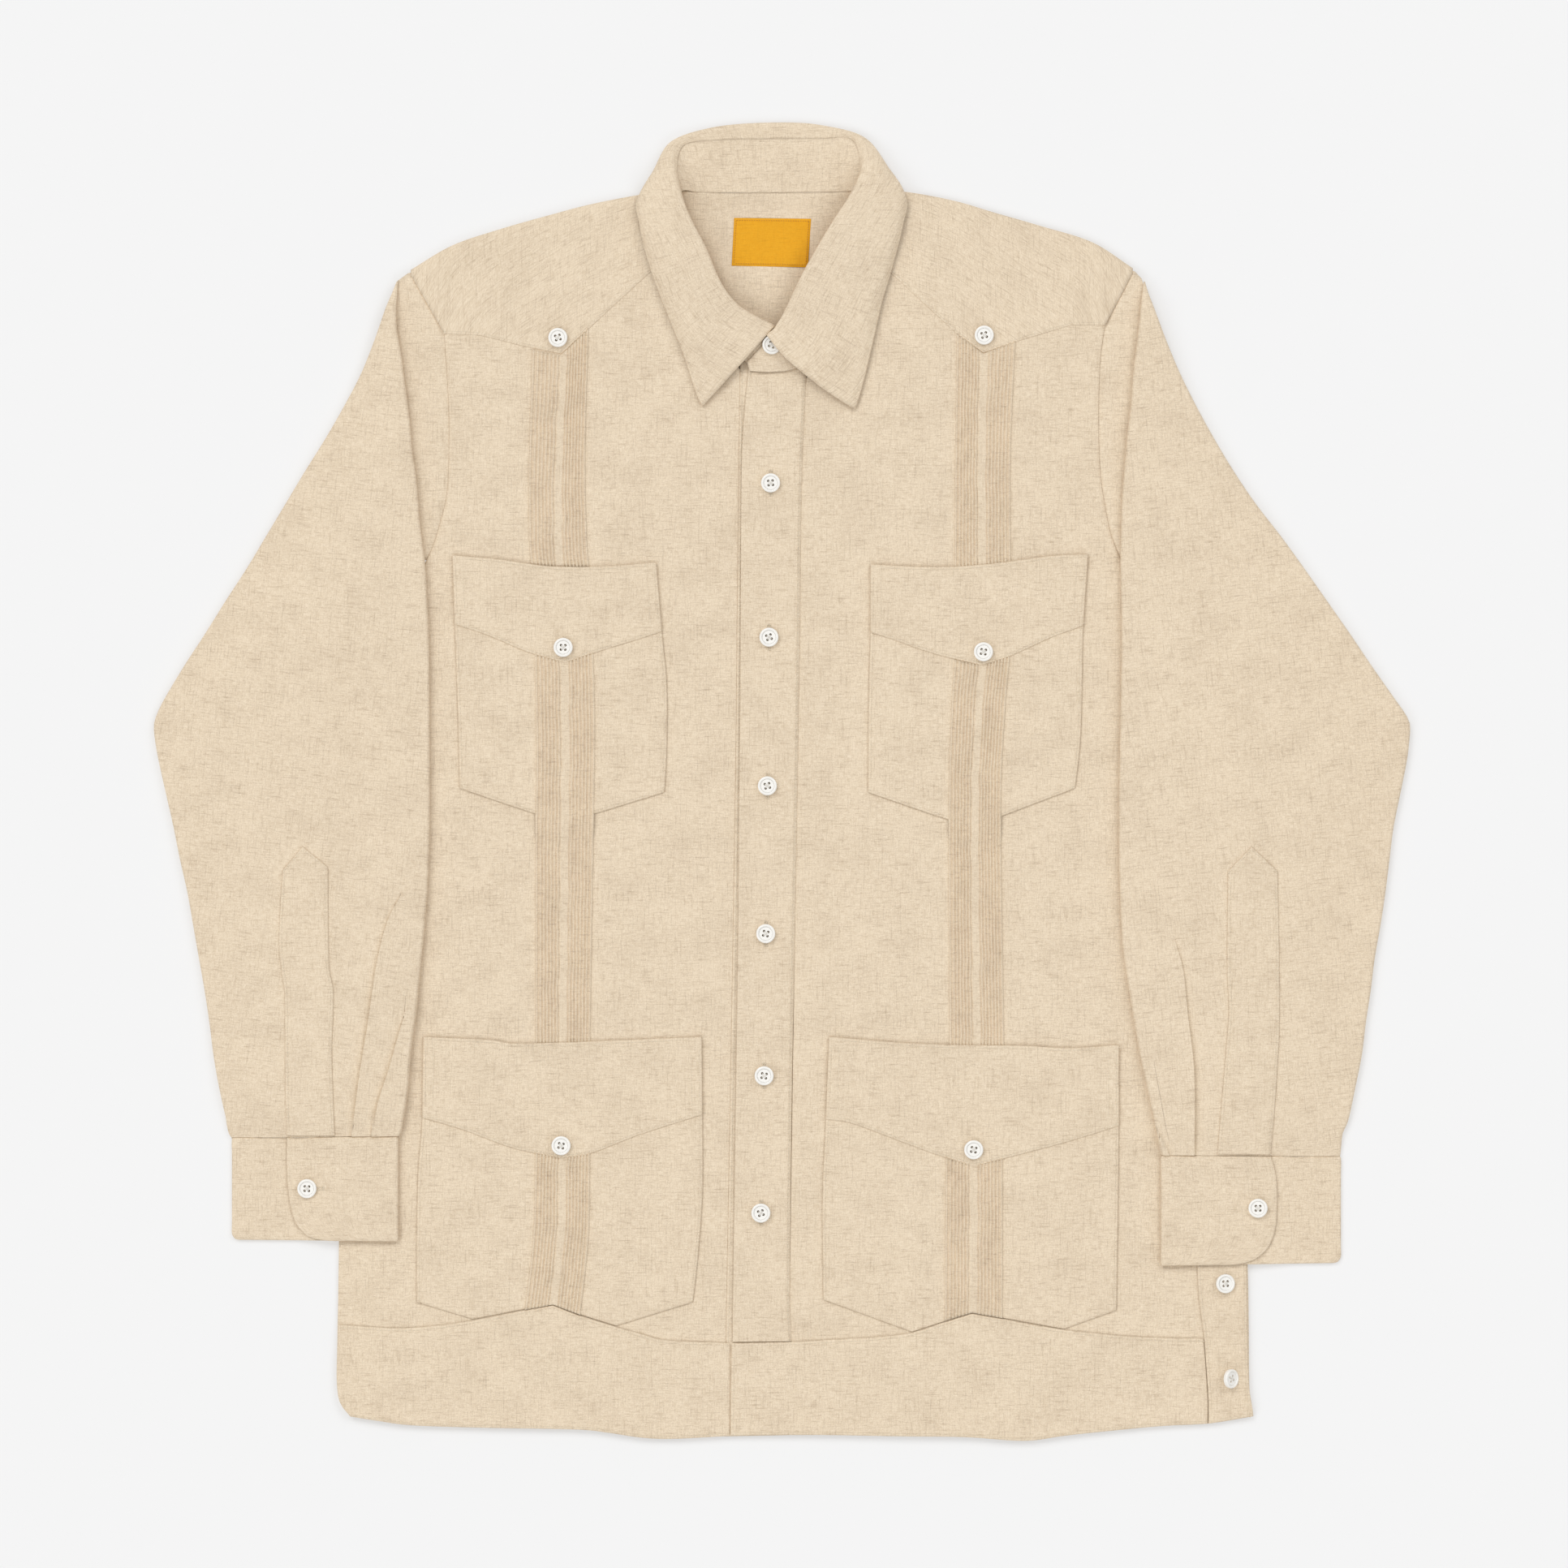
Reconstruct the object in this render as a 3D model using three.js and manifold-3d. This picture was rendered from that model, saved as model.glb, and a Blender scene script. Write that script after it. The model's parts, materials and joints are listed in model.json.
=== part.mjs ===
// Guayabera shirt, buttoned to the neck and laid face up on a table, sleeves beside the body.
// Millimetres. X runs to the wearer's left, Y towards the collar, Z up off the table.
// The origin is on the table under the middle of the shirt's outline.
import * as THREE from "three";
import Module from "manifold-3d";

const wasm = await Module();
wasm.setup();

// Driving dimensions
const WALL = 1.0; // one ply of cloth
const GAP = 0.3; // between plies, and between pieces at a seam
const PLY = WALL + GAP;
const SWELL = 2.0; // how far the fronts stand off the back in mid panel
const HALF_BODY = 292; // where the swell has died out towards the side seams
const SEAM = GAP / 2;

// Undersides of the plies over the back, before the swell is added
const ON_BACK = PLY;
const ON_FRONT = 2 * PLY;
const ON_POCKET = 3 * PLY;
const ON_FLAP = 4 * PLY;

const YOKE_SEAM_Y = 258; // back panel to yoke, straight across
const HEM_Y = -406;

// Pin-tucked strips
const TUCK_PITCH = 2.1;
const TUCK_HEIGHT = 0.6;
const TUCKS_A_SIDE = 7;
const EDGE_TUCK = 1.4; // from the strip's edge to its first, single tuck
const TUCK_START = 4.2; // from the strip's edge to the group of seven
const STRIP_WIDTH = 35.5;

// Sleeves
const FOLD = 3.6; // thickness of a folded edge, two walls and the air between
const PUFF = 2.4; // how far the upper wall swells between its folds
const STEP_DOWN = 24; // width over which the lower wall comes down beside the body

// Buttons
const BUTTON_RADIUS = 5.9;
const BUTTON_THICK = 2.4;
const BUTTON_HOLES = 1.7; // hole centres from the middle
const HOLE_RADIUS = 0.75;

const CLOTH = 0xe6d4bb;
const INSIDE = 0xdbc4a8;
const PEARL = 0xf0ebe4;
const YELLOW = 0xe2a22c;

const group = new THREE.Group();
group.name = "guayabera_shirt";

function add(name, geometry, colour = CLOTH) {
  const material = new THREE.MeshStandardMaterial({ color: colour, roughness: 0.9 });
  const mesh = new THREE.Mesh(geometry, material);
  mesh.name = name;
  group.add(mesh);
}

const mix = (a, b, t) => a + (b - a) * t;
const clamp01 = (t) => Math.min(1, Math.max(0, t));
const spread = (n) => Array.from({ length: n + 1 }, (_, i) => i / n);
const merged = (...lists) => {
  const all = lists.flat().sort((a, b) => a - b);
  return all.filter((t, i) => i === 0 || t - all[i - 1] > 0.012);
};

// How far the laid front rises over the back at a place.
function swell(x, y) {
  const across = 1 - Math.min(1, Math.abs(x) / HALF_BODY) ** 4;
  const open = THREE.MathUtils.smoothstep(y, HEM_Y, HEM_Y + 160);
  return SWELL * across * mix(0.4, 1, open);
}
const lying = (level) => (x, y) => level + swell(x, y);

// A line through points, as a function of the share of its length, with the points' own shares.
function edge(...points) {
  const far = [0];
  for (let i = 1; i < points.length; i++) {
    const [a, b] = [points[i - 1], points[i]];
    far.push(far[i - 1] + Math.hypot(b[0] - a[0], b[1] - a[1]));
  }
  const total = far[far.length - 1];
  const at = (t) => {
    let i = 1;
    while (i < points.length - 1 && far[i] < t * total) i++;
    const s = (t * total - far[i - 1]) / (far[i] - far[i - 1]);
    return [0, 1].map((k) => mix(points[i - 1][k], points[i][k], s));
  };
  at.knots = far.map((f) => f / total);
  return at;
}

// A value read off a table of [y, value] rows, in falling y.
function table(rows, y) {
  let i = 1;
  while (i < rows.length - 1 && y < rows[i][0]) i++;
  const [a, b] = [rows[i - 1], rows[i]];
  return mix(a[1], b[1], clamp01((y - a[0]) / (b[0] - a[0])));
}

// A four-sided panel between its edges. Top and bottom run left to right, the sides downwards.
function panel({ top, bottom, left, right }) {
  const [tl, tr, bl, br] = [top(0), top(1), bottom(0), bottom(1)];
  return (u, v) =>
    [0, 1].map((k) => {
      const down = mix(top(u)[k], bottom(u)[k], v);
      const across = mix(left(v)[k], right(v)[k], u);
      const corners = mix(mix(tl[k], tr[k], u), mix(bl[k], br[k], u), v);
      return down + across - corners;
    });
}

// A closed body between an upper and a lower grid of points; keep says which cells are cloth.
function shell(upper, lower, keep = () => true) {
  const rows = upper.length;
  const columns = upper[0].length;
  const positions = [...upper.flat(), ...lower.flat()].flatMap((p) => [p.x, p.y, p.z]);
  const faces = [];
  const up = (i, j) => i * columns + j;
  const low = (i, j) => rows * columns + i * columns + j;
  const kept = (i, j) => i >= 0 && j >= 0 && i < rows - 1 && j < columns - 1 && keep(i, j);
  for (let i = 0; i < rows - 1; i++) {
    for (let j = 0; j < columns - 1; j++) {
      if (!kept(i, j)) continue;
      const ring = [[i, j], [i, j + 1], [i + 1, j + 1], [i + 1, j]];
      const [a, b, c, d] = ring.map((p) => up(...p));
      const [e, f, g, h] = ring.map((p) => low(...p));
      faces.push(a, b, c, a, c, d, e, g, f, e, h, g);
      const beyond = [[i - 1, j], [i, j + 1], [i + 1, j], [i, j - 1]];
      beyond.forEach((cell, k) => {
        if (kept(...cell)) return;
        const [p, q] = [ring[k], ring[(k + 1) % 4]];
        faces.push(up(...q), up(...p), low(...p), up(...q), low(...p), low(...q));
      });
    }
  }
  return solid(positions, faces);
}

function solid(positions, faces) {
  const g = new THREE.BufferGeometry();
  g.setAttribute("position", new THREE.Float32BufferAttribute(positions, 3));
  g.setIndex(faces);
  g.computeVertexNormals();
  return g;
}

// A piece lying on what is below it: its underside at the given height at each point.
function laid(form, us, vs, under, relief = () => 0, thick = WALL) {
  const grid = (lift) =>
    vs.map((v) =>
      us.map((u) => {
        const [x, y] = form(u, v);
        return new THREE.Vector3(x, y, under(x, y) + lift(u, v));
      }),
    );
  // Rows run down the panel, so the columns are taken backwards to face the cloth upwards.
  const flip = (rows) => rows.map((r) => [...r].reverse());
  return shell(flip(grid((u, v) => thick + relief(u, v))), flip(grid(() => 0)));
}

// Cloth that bends: points of its middle surface, thickened half a wall to each side.
function cloth(rows, keep = () => true, thick = WALL) {
  const normals = rows.map((r) => r.map(() => new THREE.Vector3()));
  for (let i = 0; i < rows.length - 1; i++) {
    for (let j = 0; j < rows[0].length - 1; j++) {
      if (!keep(i, j)) continue;
      const ring = [[i, j], [i, j + 1], [i + 1, j + 1], [i + 1, j]];
      const [a, b, c, d] = ring.map(([r, s]) => rows[r][s]);
      const n = c.clone().sub(a).cross(d.clone().sub(b)).normalize();
      ring.forEach(([r, s]) => normals[r][s].add(n));
    }
  }
  const moved = (side) =>
    rows.map((r, i) =>
      r.map((p, j) => p.clone().addScaledVector(normals[i][j].normalize(), (side * thick) / 2)),
    );
  return shell(moved(1), moved(-1), keep);
}

function toManifold(geometry) {
  return new wasm.Manifold(
    new wasm.Mesh({
      numProp: 3,
      vertProperties: new Float32Array(geometry.attributes.position.array),
      triVerts: new Uint32Array(geometry.index.array),
    }),
  );
}

function fromManifold(body) {
  const m = body.getMesh();
  const positions = [];
  for (let i = 0; i < m.numVert; i++) {
    positions.push(...m.vertProperties.subarray(i * m.numProp, i * m.numProp + 3));
  }
  return solid(positions, [...m.triVerts]);
}

// ---- Outlines shared by the body pieces. "right" and "left" are the wearer's.

const ARMHOLE = {
  right: [[-208, 276.5], [-206, 246.5], [-205, 216.5], [-206, 181.5], [-210, 161.5],
    [-219, 136.5], [-242, 104], [-269, 86.5]],
  left: [[199, 281.5], [196, 259], [195, 224], [196, 191.5], [199, 170], [204, 148.5],
    [218, 121.5], [246, 99], [273, 86.5]],
};
const SIDE = {
  right: [[-270, 20], [-272, -130], [-273, -283.5], [-274, -368.5], [-271, -387.5]],
  left: [[276, 0], [282, -150], [287, -298.5], [288, -372], [290, -387]],
};
const HEM = {
  right: [[-266, -391], [-227, -396.5], [-182, -398], [-127, -399], [-87, -404],
    [-67, -404.8], [-36.5, -403.3]],
  stand: [[-36.2, -403.3], [5.7, -402.5]],
  left: [[6, -402.5], [33, -402.5], [113, -403.5], [149, -406], [193, -401], [233, -397],
    [262.5, -395.5], [290, -391]],
};
const YOKE_EDGE = {
  right: [[-208, 276.1], [-186, 275.1], [-159, 268.4], [-136, 263.6], [-117, 281.1],
    [-84, 311.5], [-66, 326.5]],
  left: [[52, 326.5], [71, 310], [108, 275.7], [124, 264.2], [148, 272.3], [178, 281.3],
    [199, 281.3]],
};
const NECK = {
  right: [[-62, 312], [-54, 294], [-42, 276], [-26.3, 254]],
  left: [[15.3, 248.5], [30, 268], [42, 290], [49, 312]],
};
const STAND_SEAM = [[-26, 254], [-29, -18.5], [-34, -308.5], [-36.2, -403.3]];
const PLACKET_SEAM = [[15, 248.5], [13, 215], [11, 199.5], [11, 81.5], [8, -93.5],
  [5, -308.5], [5.7, -402.5]];
const moveX = (points, dx) => points.map(([x, y]) => [x + dx, y]);

// ---- Back, yoke and fronts

const backTop = [[-206.6, YOKE_SEAM_Y], [196, YOKE_SEAM_Y]];
const backForm = panel({
  top: edge(...backTop),
  bottom: edge(...HEM.right, ...HEM.left.slice(0, 7), [290, -391]),
  left: edge(backTop[0], ...ARMHOLE.right.slice(1), ...SIDE.right, [-266, -391]),
  right: edge(backTop[1], ...ARMHOLE.left.slice(2), ...SIDE.left, [290, -391]),
});
add("back", laid(backForm, spread(8), spread(14), () => 0));

// The yoke: one piece from the back seam, over the shoulders, down to a point on each front.
// Shoulder is the fold, back and front the two cut edges; rows without a fold cross the neck.
const YOKE = [
  { back: [-206.6, 258.3], shoulder: [-228.6, 315.5], front: [-208, 276.5] },
  { back: [-184, 258.3], shoulder: [-203, 330.5], front: [-186, 275.5] },
  { back: [-156, 258.3], shoulder: [-172, 341], front: [-159, 268.8] },
  { back: [-134, 258.3], shoulder: [-142, 349.5], front: [-136, 264] },
  { back: [-117, 258.3], shoulder: [-118, 355.8], front: [-117, 281.5] },
  { back: [-84, 258.3], shoulder: [-90, 361.3], front: [-84, 312] },
  { back: [-66, 258.3], shoulder: [-66, 365], front: [-66, 327] },
  { back: [-40, 258.3], neck: [-40, 362.3] },
  { back: [-6, 258.3], neck: [-6, 362.7] },
  { back: [28, 258.3], neck: [28, 363] },
  { back: [52, 258.3], shoulder: [54, 365.4], front: [52, 327] },
  { back: [72, 258.3], shoulder: [80, 363], front: [71, 310.5] },
  { back: [106, 258.3], shoulder: [107, 357.8], front: [108, 276.2] },
  { back: [122, 258.3], shoulder: [130, 351], front: [124, 264.7] },
  { back: [146, 258.3], shoulder: [160, 342.3], front: [148, 272.7] },
  { back: [172, 258.3], shoulder: [191, 332.5], front: [178, 281.7] },
  { back: [196, 258.3], shoulder: [216, 316.5], front: [199, 281.7] },
];
const yokeColumns = YOKE.map(({ back, shoulder, neck, front }) => {
  const point = (p, q, t, z) => new THREE.Vector3(mix(p[0], q[0], t), mix(p[1], q[1], t), z);
  const low = WALL / 2;
  if (neck) {
    const rise = [0, 0.5, 1].map((t) => point(back, neck, t, low));
    return [...rise, ...Array(4).fill(rise[2])];
  }
  const high = (p) => ON_BACK + WALL / 2 + swell(...p);
  const near = 3.2 / (shoulder[1] - front[1]);
  const nearBack = 3.2 / (shoulder[1] - back[1]);
  const fold = [shoulder[0], shoulder[1] - WALL / 2];
  return [
    point(back, fold, 0, low),
    point(back, fold, 0.5, low),
    point(back, fold, 1 - nearBack, low),
    point(fold, fold, 0, mix(low, high(fold), 0.5)),
    point(fold, front, near, high(fold)),
    point(fold, front, 0.5, high([mix(fold[0], front[0], 0.5), mix(fold[1], front[1], 0.5)])),
    point(fold, front, 1, high(front)),
  ];
});
const overNeck = (i, j) => i < 2 || !(j >= 6 && j <= 9);
const yokeRows = spread(6).map((_, i) => yokeColumns.map((c) => c[i]));
add("yoke", cloth(yokeRows, overNeck));

const sideRight = edge([-208, 276.1], ...ARMHOLE.right.slice(1), ...SIDE.right, [-266, -391]);
const sideLeft = edge([199, 281.3], ...ARMHOLE.left.slice(1), ...SIDE.left, [290, -391]);
const frontRight = panel({
  top: edge(...YOKE_EDGE.right, ...NECK.right),
  bottom: edge(...HEM.right),
  left: sideRight,
  right: edge(...moveX(STAND_SEAM, -GAP)),
});
const frontLeft = panel({
  top: edge(...NECK.left, ...YOKE_EDGE.left),
  bottom: edge(...moveX(HEM.left.slice(0, 1), GAP), ...HEM.left.slice(1)),
  left: edge(...moveX(PLACKET_SEAM, GAP)),
  right: sideLeft,
});
const rightTop = edge(...YOKE_EDGE.right, ...NECK.right).knots;
const leftTop = edge(...NECK.left, ...YOKE_EDGE.left).knots;
const down = [0.5, 0.57, 0.64, 0.72, 0.79, 0.93];
const rightVs = merged(sideRight.knots, down);
const leftVs = merged(sideLeft.knots, down);
add("front_right", laid(frontRight, merged(rightTop, [0.85]), rightVs, lying(ON_BACK)));
add("front_left", laid(frontLeft, merged(leftTop, [0.15]), leftVs, lying(ON_BACK)));

const buttonStand = panel({
  top: edge([-26, 254], [14.4, 249]),
  bottom: edge(...HEM.stand),
  left: edge(...STAND_SEAM),
  right: edge(...moveX(PLACKET_SEAM, -GAP)),
});
add("button_stand", laid(buttonStand, spread(2), spread(14), lying(ON_BACK)));

const placket = panel({
  top: edge([-21, 251], [15, 248]),
  bottom: edge([-30.5, -344.7], [6, -344.5]),
  left: edge([-21, 251], [-24, 215], [-25, 181.5], [-27, -93.5], [-30, -308.5], [-30.5, -344.7]),
  right: edge([15, 248], [13, 215], [11, 199.5], [11, 81.5], [8, -93.5], [5, -308.5],
    [6, -344.5]),
});
add("placket", laid(placket, spread(2), spread(14), lying(ON_FRONT)));

// ---- Hem bands, each rising to a peak under its pleated strip, and the side vent's strip

const HEM_TOP = {
  right: [[-273, -334.5], [-237, -336.5], [-189, -331.5], [-159, -325.5], [-141, -322.5],
    [-125, -328.5], [-103, -335.5], [-71, -344.5], [-32, -345.7]],
  left: [[-31, -345.8], [5, -345], [33, -343.5], [79, -339.5], [101, -332.5], [117, -327.5],
    [135, -330.5], [174, -337.5], [207, -341], [259.6, -343]],
};
const hemRight = panel({
  top: edge(...HEM_TOP.right),
  bottom: edge(...HEM.right.slice(0, 6), [-32.3, -402.8]),
  left: edge([-273, -334.5], [-273.7, -368.5], [-271, -387.5], [-266, -391]),
  right: edge([-32, -345.7], [-32.3, -402.8]),
});
const hemLeft = panel({
  top: edge(...HEM_TOP.left),
  bottom: edge([-31.8, -402.8], ...HEM.left.slice(1, 6), [262.2, -395.5]),
  left: edge([-31, -345.8], [-31.8, -402.8]),
  right: edge([259.6, -343], [260.8, -357.5], [262.2, -380.5], [262.2, -395.5]),
});
const bandUs = (points) => merged(edge(...points).knots, [0.95]);
add("hem_right", laid(hemRight, bandUs(HEM_TOP.right), spread(3), lying(ON_FRONT)));
add("hem_left", laid(hemLeft, bandUs(HEM_TOP.left), spread(3), lying(ON_FRONT)));

const ventStrip = panel({
  top: edge([255.5, -298], [286.2, -299]),
  bottom: edge([262.8, -395.5], [289.6, -391]),
  left: edge([255.5, -298], [257, -319], [260, -342], [261.2, -357.5], [262.8, -380.5],
    [262.8, -395.5]),
  right: edge([286.2, -299], [286.7, -342], [287.7, -372], [289.6, -387], [289.6, -391]),
});
add("vent_strip", laid(ventStrip, spread(2), spread(6), lying(ON_FRONT)));

// ---- Patch pockets and their pointed flaps

const POCKETS = [
  {
    name: "upper_right",
    top: [[-203, 139.5], [-175, 137], [-145, 133], [-115, 132.5], [-77.5, 135]],
    left: [[-203, 139.5], [-201.5, 97], [-200, 54.5], [-198.5, -4]],
    right: [[-77.5, 135], [-74, 92.5], [-71, 59.5], [-72.5, -6.5]],
    bottom: [[-198.5, -4], [-152.5, -19.5], [-134, -24.5], [-115, -19.5], [-72.5, -6.5]],
    flap: [[-201.5, 97], [-182, 90.5], [-157, 80], [-134, 73], [-115, 79.5], [-86, 88.5],
      [-74, 92.5]],
  },
  {
    name: "upper_left",
    top: [[54.5, 134], [81, 132.5], [106, 132.5], [135, 135], [165, 139], [188.5, 140]],
    left: [[54.5, 134], [54.5, 92], [53.5, 54.5], [53, -6.5]],
    right: [[188.5, 140], [185.5, 96], [184, 30.5], [180.5, -4]],
    bottom: [[53, -6.5], [101.5, -23], [119, -27.5], [137, -20.5], [180.5, -4]],
    flap: [[54.5, 92], [68.5, 87.5], [93, 79], [123, 71.5], [141, 77.5], [165, 88.5],
      [185.5, 96]],
  },
  {
    name: "lower_right",
    top: [[-221, -157], [-180, -159], [-167, -161], [-136, -160.5], [-95, -159], [-49.5, -157]],
    left: [[-221, -157], [-221.5, -207], [-224, -239.5], [-225, -280.5], [-225, -320.5]],
    right: [[-49.5, -157], [-49, -205], [-49, -253], [-52, -294.5], [-55, -320.5]],
    bottom: [[-225, -320.5], [-190.5, -331], [-159, -325], [-141, -322], [-125, -328],
      [-102, -335], [-55, -320.5]],
    flap: [[-221.5, -207], [-197.5, -214], [-166, -225.5], [-136, -232], [-118, -229],
      [-88, -217.5], [-49, -205]],
  },
  {
    name: "lower_left",
    top: [[29, -157], [71, -160.5], [106.5, -162], [148.5, -162.5], [176.5, -164], [207.5, -162]],
    left: [[29, -157], [27, -208], [25, -256], [25.5, -319]],
    right: [[207.5, -162], [207.5, -212], [207, -256], [206, -325.5]],
    bottom: [[25.5, -319], [80, -338.5], [101, -331.9], [117, -327], [135, -330],
      [174, -337], [206, -325.5]],
    flap: [[27, -208], [42, -210], [64, -218], [92, -228.5], [118, -237], [148.5, -229],
      [176.5, -221.5], [207.5, -212]],
  },
];
for (const p of POCKETS) {
  const bottom = edge(...p.bottom);
  const flapEdge = edge(...p.flap);
  const body = panel({ ...p, top: edge(...p.top), bottom, left: edge(...p.left), right: edge(...p.right) });
  add("pocket_" + p.name, laid(body, merged(bottom.knots, [0.15, 0.87]), spread(6), lying(ON_FRONT)));
  const flap = panel({
    top: edge(...p.top),
    bottom: flapEdge,
    left: edge(p.left[0], p.left[1]),
    right: edge(p.right[0], p.right[1]),
  });
  add("flap_" + p.name, laid(flap, merged(flapEdge.knots), spread(2), lying(ON_POCKET)));
}

// ---- Pin-tucked strips: a single tuck near each edge, then seven side by side

const halfTucks = [0, EDGE_TUCK - 0.8, EDGE_TUCK, EDGE_TUCK + 0.8];
const halfLift = [0, 0, TUCK_HEIGHT, 0];
for (let k = 0; k <= TUCKS_A_SIDE; k++) {
  const start = TUCK_START + (k - 0.5) * TUCK_PITCH;
  halfTucks.push(start);
  halfLift.push(0);
  if (k < TUCKS_A_SIDE) {
    halfTucks.push(start + TUCK_PITCH / 2);
    halfLift.push(TUCK_HEIGHT);
  }
}
const tuckUs = [...halfTucks, ...[...halfTucks].reverse().map((d) => STRIP_WIDTH - d)];
const stripUs = tuckUs.map((d) => d / STRIP_WIDTH);
const stripLift = [...halfLift, ...[...halfLift].reverse()];
const tucks = (u) => stripLift[stripUs.indexOf(u)];

// The middle strips leave the pocket they cross and come down on to the front.
const offPocket = (x, y) => mix(ON_FRONT, ON_POCKET, clamp01((y + 42) / 10)) + swell(x, y);
const STRIPS = [
  { name: "upper_right", on: lying(ON_FRONT), rows: [0, 0.5, 1],
    top: [[-154, 266.3], [-136, 263.4], [-119, 279]],
    left: [[-154, 266.3], [-156, 202.5], [-156, 151.5], [-154.5, 134.8]],
    right: [[-119, 279], [-121, 202.5], [-120, 151.5], [-118.5, 133.2]] },
  { name: "upper_left", on: lying(ON_FRONT), rows: [0, 0.5, 1],
    top: [[107.5, 275.6], [124, 263.8], [142.5, 269.8]],
    left: [[107.5, 275.6], [106.5, 202.5], [106, 133.2]],
    right: [[142.5, 269.8], [141, 202.5], [141, 136.3]] },
  { name: "middle_right", on: offPocket, rows: [0, 0.44, 0.5, 1],
    top: [[-152.5, 77.8], [-134, 72.6], [-116, 78.5]],
    left: [[-152.5, 77.8], [-151.5, 18], [-152, -37.5], [-152, -160.2]],
    right: [[-116, 78.5], [-115, 30.5], [-116, -37.5], [-118, -159.4]] },
  { name: "middle_left", on: offPocket, rows: [0, 0.44, 0.5, 1],
    top: [[106, 74.8], [123, 71], [140.5, 76.3]],
    left: [[106, 74.8], [104, 42.5], [102.5, -18], [103, -161.2]],
    right: [[140.5, 76.3], [137.5, 42.5], [135, -18], [137, -161.6]] },
  { name: "lower_right", on: lying(ON_POCKET), rows: [0, 0.5, 1],
    top: [[-152, -229], [-136, -232.5], [-118, -229.5]],
    left: [[-152, -229], [-153.5, -280.5], [-158.5, -325]],
    right: [[-118, -229.5], [-119, -280.5], [-124, -328.6]] },
  { name: "lower_left", on: lying(ON_POCKET), rows: [0, 0.5, 1],
    top: [[100.5, -232.2], [118, -237.5], [136, -232.9]],
    left: [[100.5, -232.2], [100, -332]],
    right: [[136, -232.9], [136, -330.5]] },
];
for (const s of STRIPS) {
  const sides = { left: edge(...s.left), right: edge(...s.right) };
  const bottom = edge(s.left[s.left.length - 1], s.right[s.right.length - 1]);
  const form = panel({ ...sides, top: edge(...s.top), bottom });
  add("strip_" + s.name, laid(form, stripUs, s.rows, s.on, tucks));
}

// ---- Sleeves: each a flattened tube beside and partly over the body, open at the cuff,
// with its head running back under the inner fold to the armhole seam.
// Across is the distance from the shirt's middle line.

const SLEEVES = {
  right: {
    sign: -1,
    sections: [
      { y: 292, outer: 244, inner: 236 },
      { y: 272, outer: 251, inner: 235 },
      { y: 232, outer: 270, inner: 230.5 },
      { y: 192, outer: 294, inner: 226.5 },
      { y: 152, outer: 318, inner: 222 },
      { y: 92, outer: 355, inner: 217.5 },
      { y: 52, outer: 380, inner: 217 },
      { y: 35, outer: 387, inner: 217 },
      { y: 6.5, outer: 382, inner: 217 },
      { y: -28, outer: 375, inner: 217.5 },
      { y: -68, outer: 366, inner: 219 },
      { y: -109, outer: 359, inner: 222 },
      { y: -150, outer: 353, inner: 225.5 },
      { y: -191, outer: 346.5, inner: 230 },
      { y: -218, outer: 339, inner: 236 },
    ],
    bodyEdge: [[310, 244], [246, 241], [181, 239], [136, 246], [104, 262], [86, 271],
      [-130, 273.5], [-283, 274.5], [-400, 275]],
    head: {
      seam: [[229.4, 314], [219.6, 297], [208.7, 276.3], [206.3, 246.5], [205.3, 216.5],
        [206.3, 181.5], [210.3, 161.5], [219.3, 136.5]],
      hidden: [[236.5, 308], [241, 292], [243, 272], [242, 246], [240, 216], [238, 181],
        [237, 160], [237, 139]],
    },
  },
  left: {
    sign: 1,
    sections: [
      { y: 292, outer: 229, inner: 221 },
      { y: 272, outer: 237, inner: 220 },
      { y: 232, outer: 255, inner: 215.5 },
      { y: 192, outer: 278, inner: 211 },
      { y: 152, outer: 307, inner: 209 },
      { y: 92, outer: 350, inner: 209 },
      { y: 52, outer: 377, inner: 209 },
      { y: 35.5, outer: 387, inner: 208.5 },
      { y: 6.5, outer: 384, inner: 208 },
      { y: -28, outer: 377, inner: 208 },
      { y: -68, outer: 372, inner: 208.5 },
      { y: -109, outer: 365, inner: 211 },
      { y: -149, outer: 360, inner: 217 },
      { y: -188, outer: 353, inner: 223 },
      { y: -229.7, outer: 344.5, inner: 233 },
    ],
    bodyEdge: [[310, 232], [259, 231], [191, 230], [148, 234], [121, 248], [99, 264],
      [86, 275], [0, 279], [-150, 285], [-298, 290], [-400, 292]],
    head: {
      seam: [[216.8, 315], [209.9, 302], [199.5, 281], [196.5, 259], [195.3, 224],
        [196.3, 191.5], [199.3, 170], [204.3, 148.5]],
      hidden: [[221.5, 309], [226, 295], [229, 281], [231, 259], [229, 224], [226, 191],
        [225, 170], [225, 150]],
    },
  },
};

// Height of the lower wall's underside: over the body, then down to the table beside it.
function sleeveUnder(s, across, y) {
  const beyond = across - table(s.bodyEdge, y) - 1;
  return (ON_FRONT + swell(across, y)) * (1 - clamp01(beyond / STEP_DOWN));
}
function sleeveSpan(s, y) {
  const rows = s.sections.map((r) => [r.y, r.outer]);
  const inner = s.sections.map((r) => [r.y, r.inner]);
  return { outer: table(rows, y), inner: table(inner, y) };
}
// Height of the upper wall's top between the two folds.
function sleeveTop(s, across, y) {
  const { outer, inner } = sleeveSpan(s, y);
  const t = clamp01((across - inner) / (outer - inner));
  const low = mix(sleeveUnder(s, inner, y), sleeveUnder(s, outer, y), t);
  const puff = PUFF * Math.sin(Math.PI * t) * clamp01((outer - inner) / 60);
  return Math.max(low, 0) + FOLD + puff;
}
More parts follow.
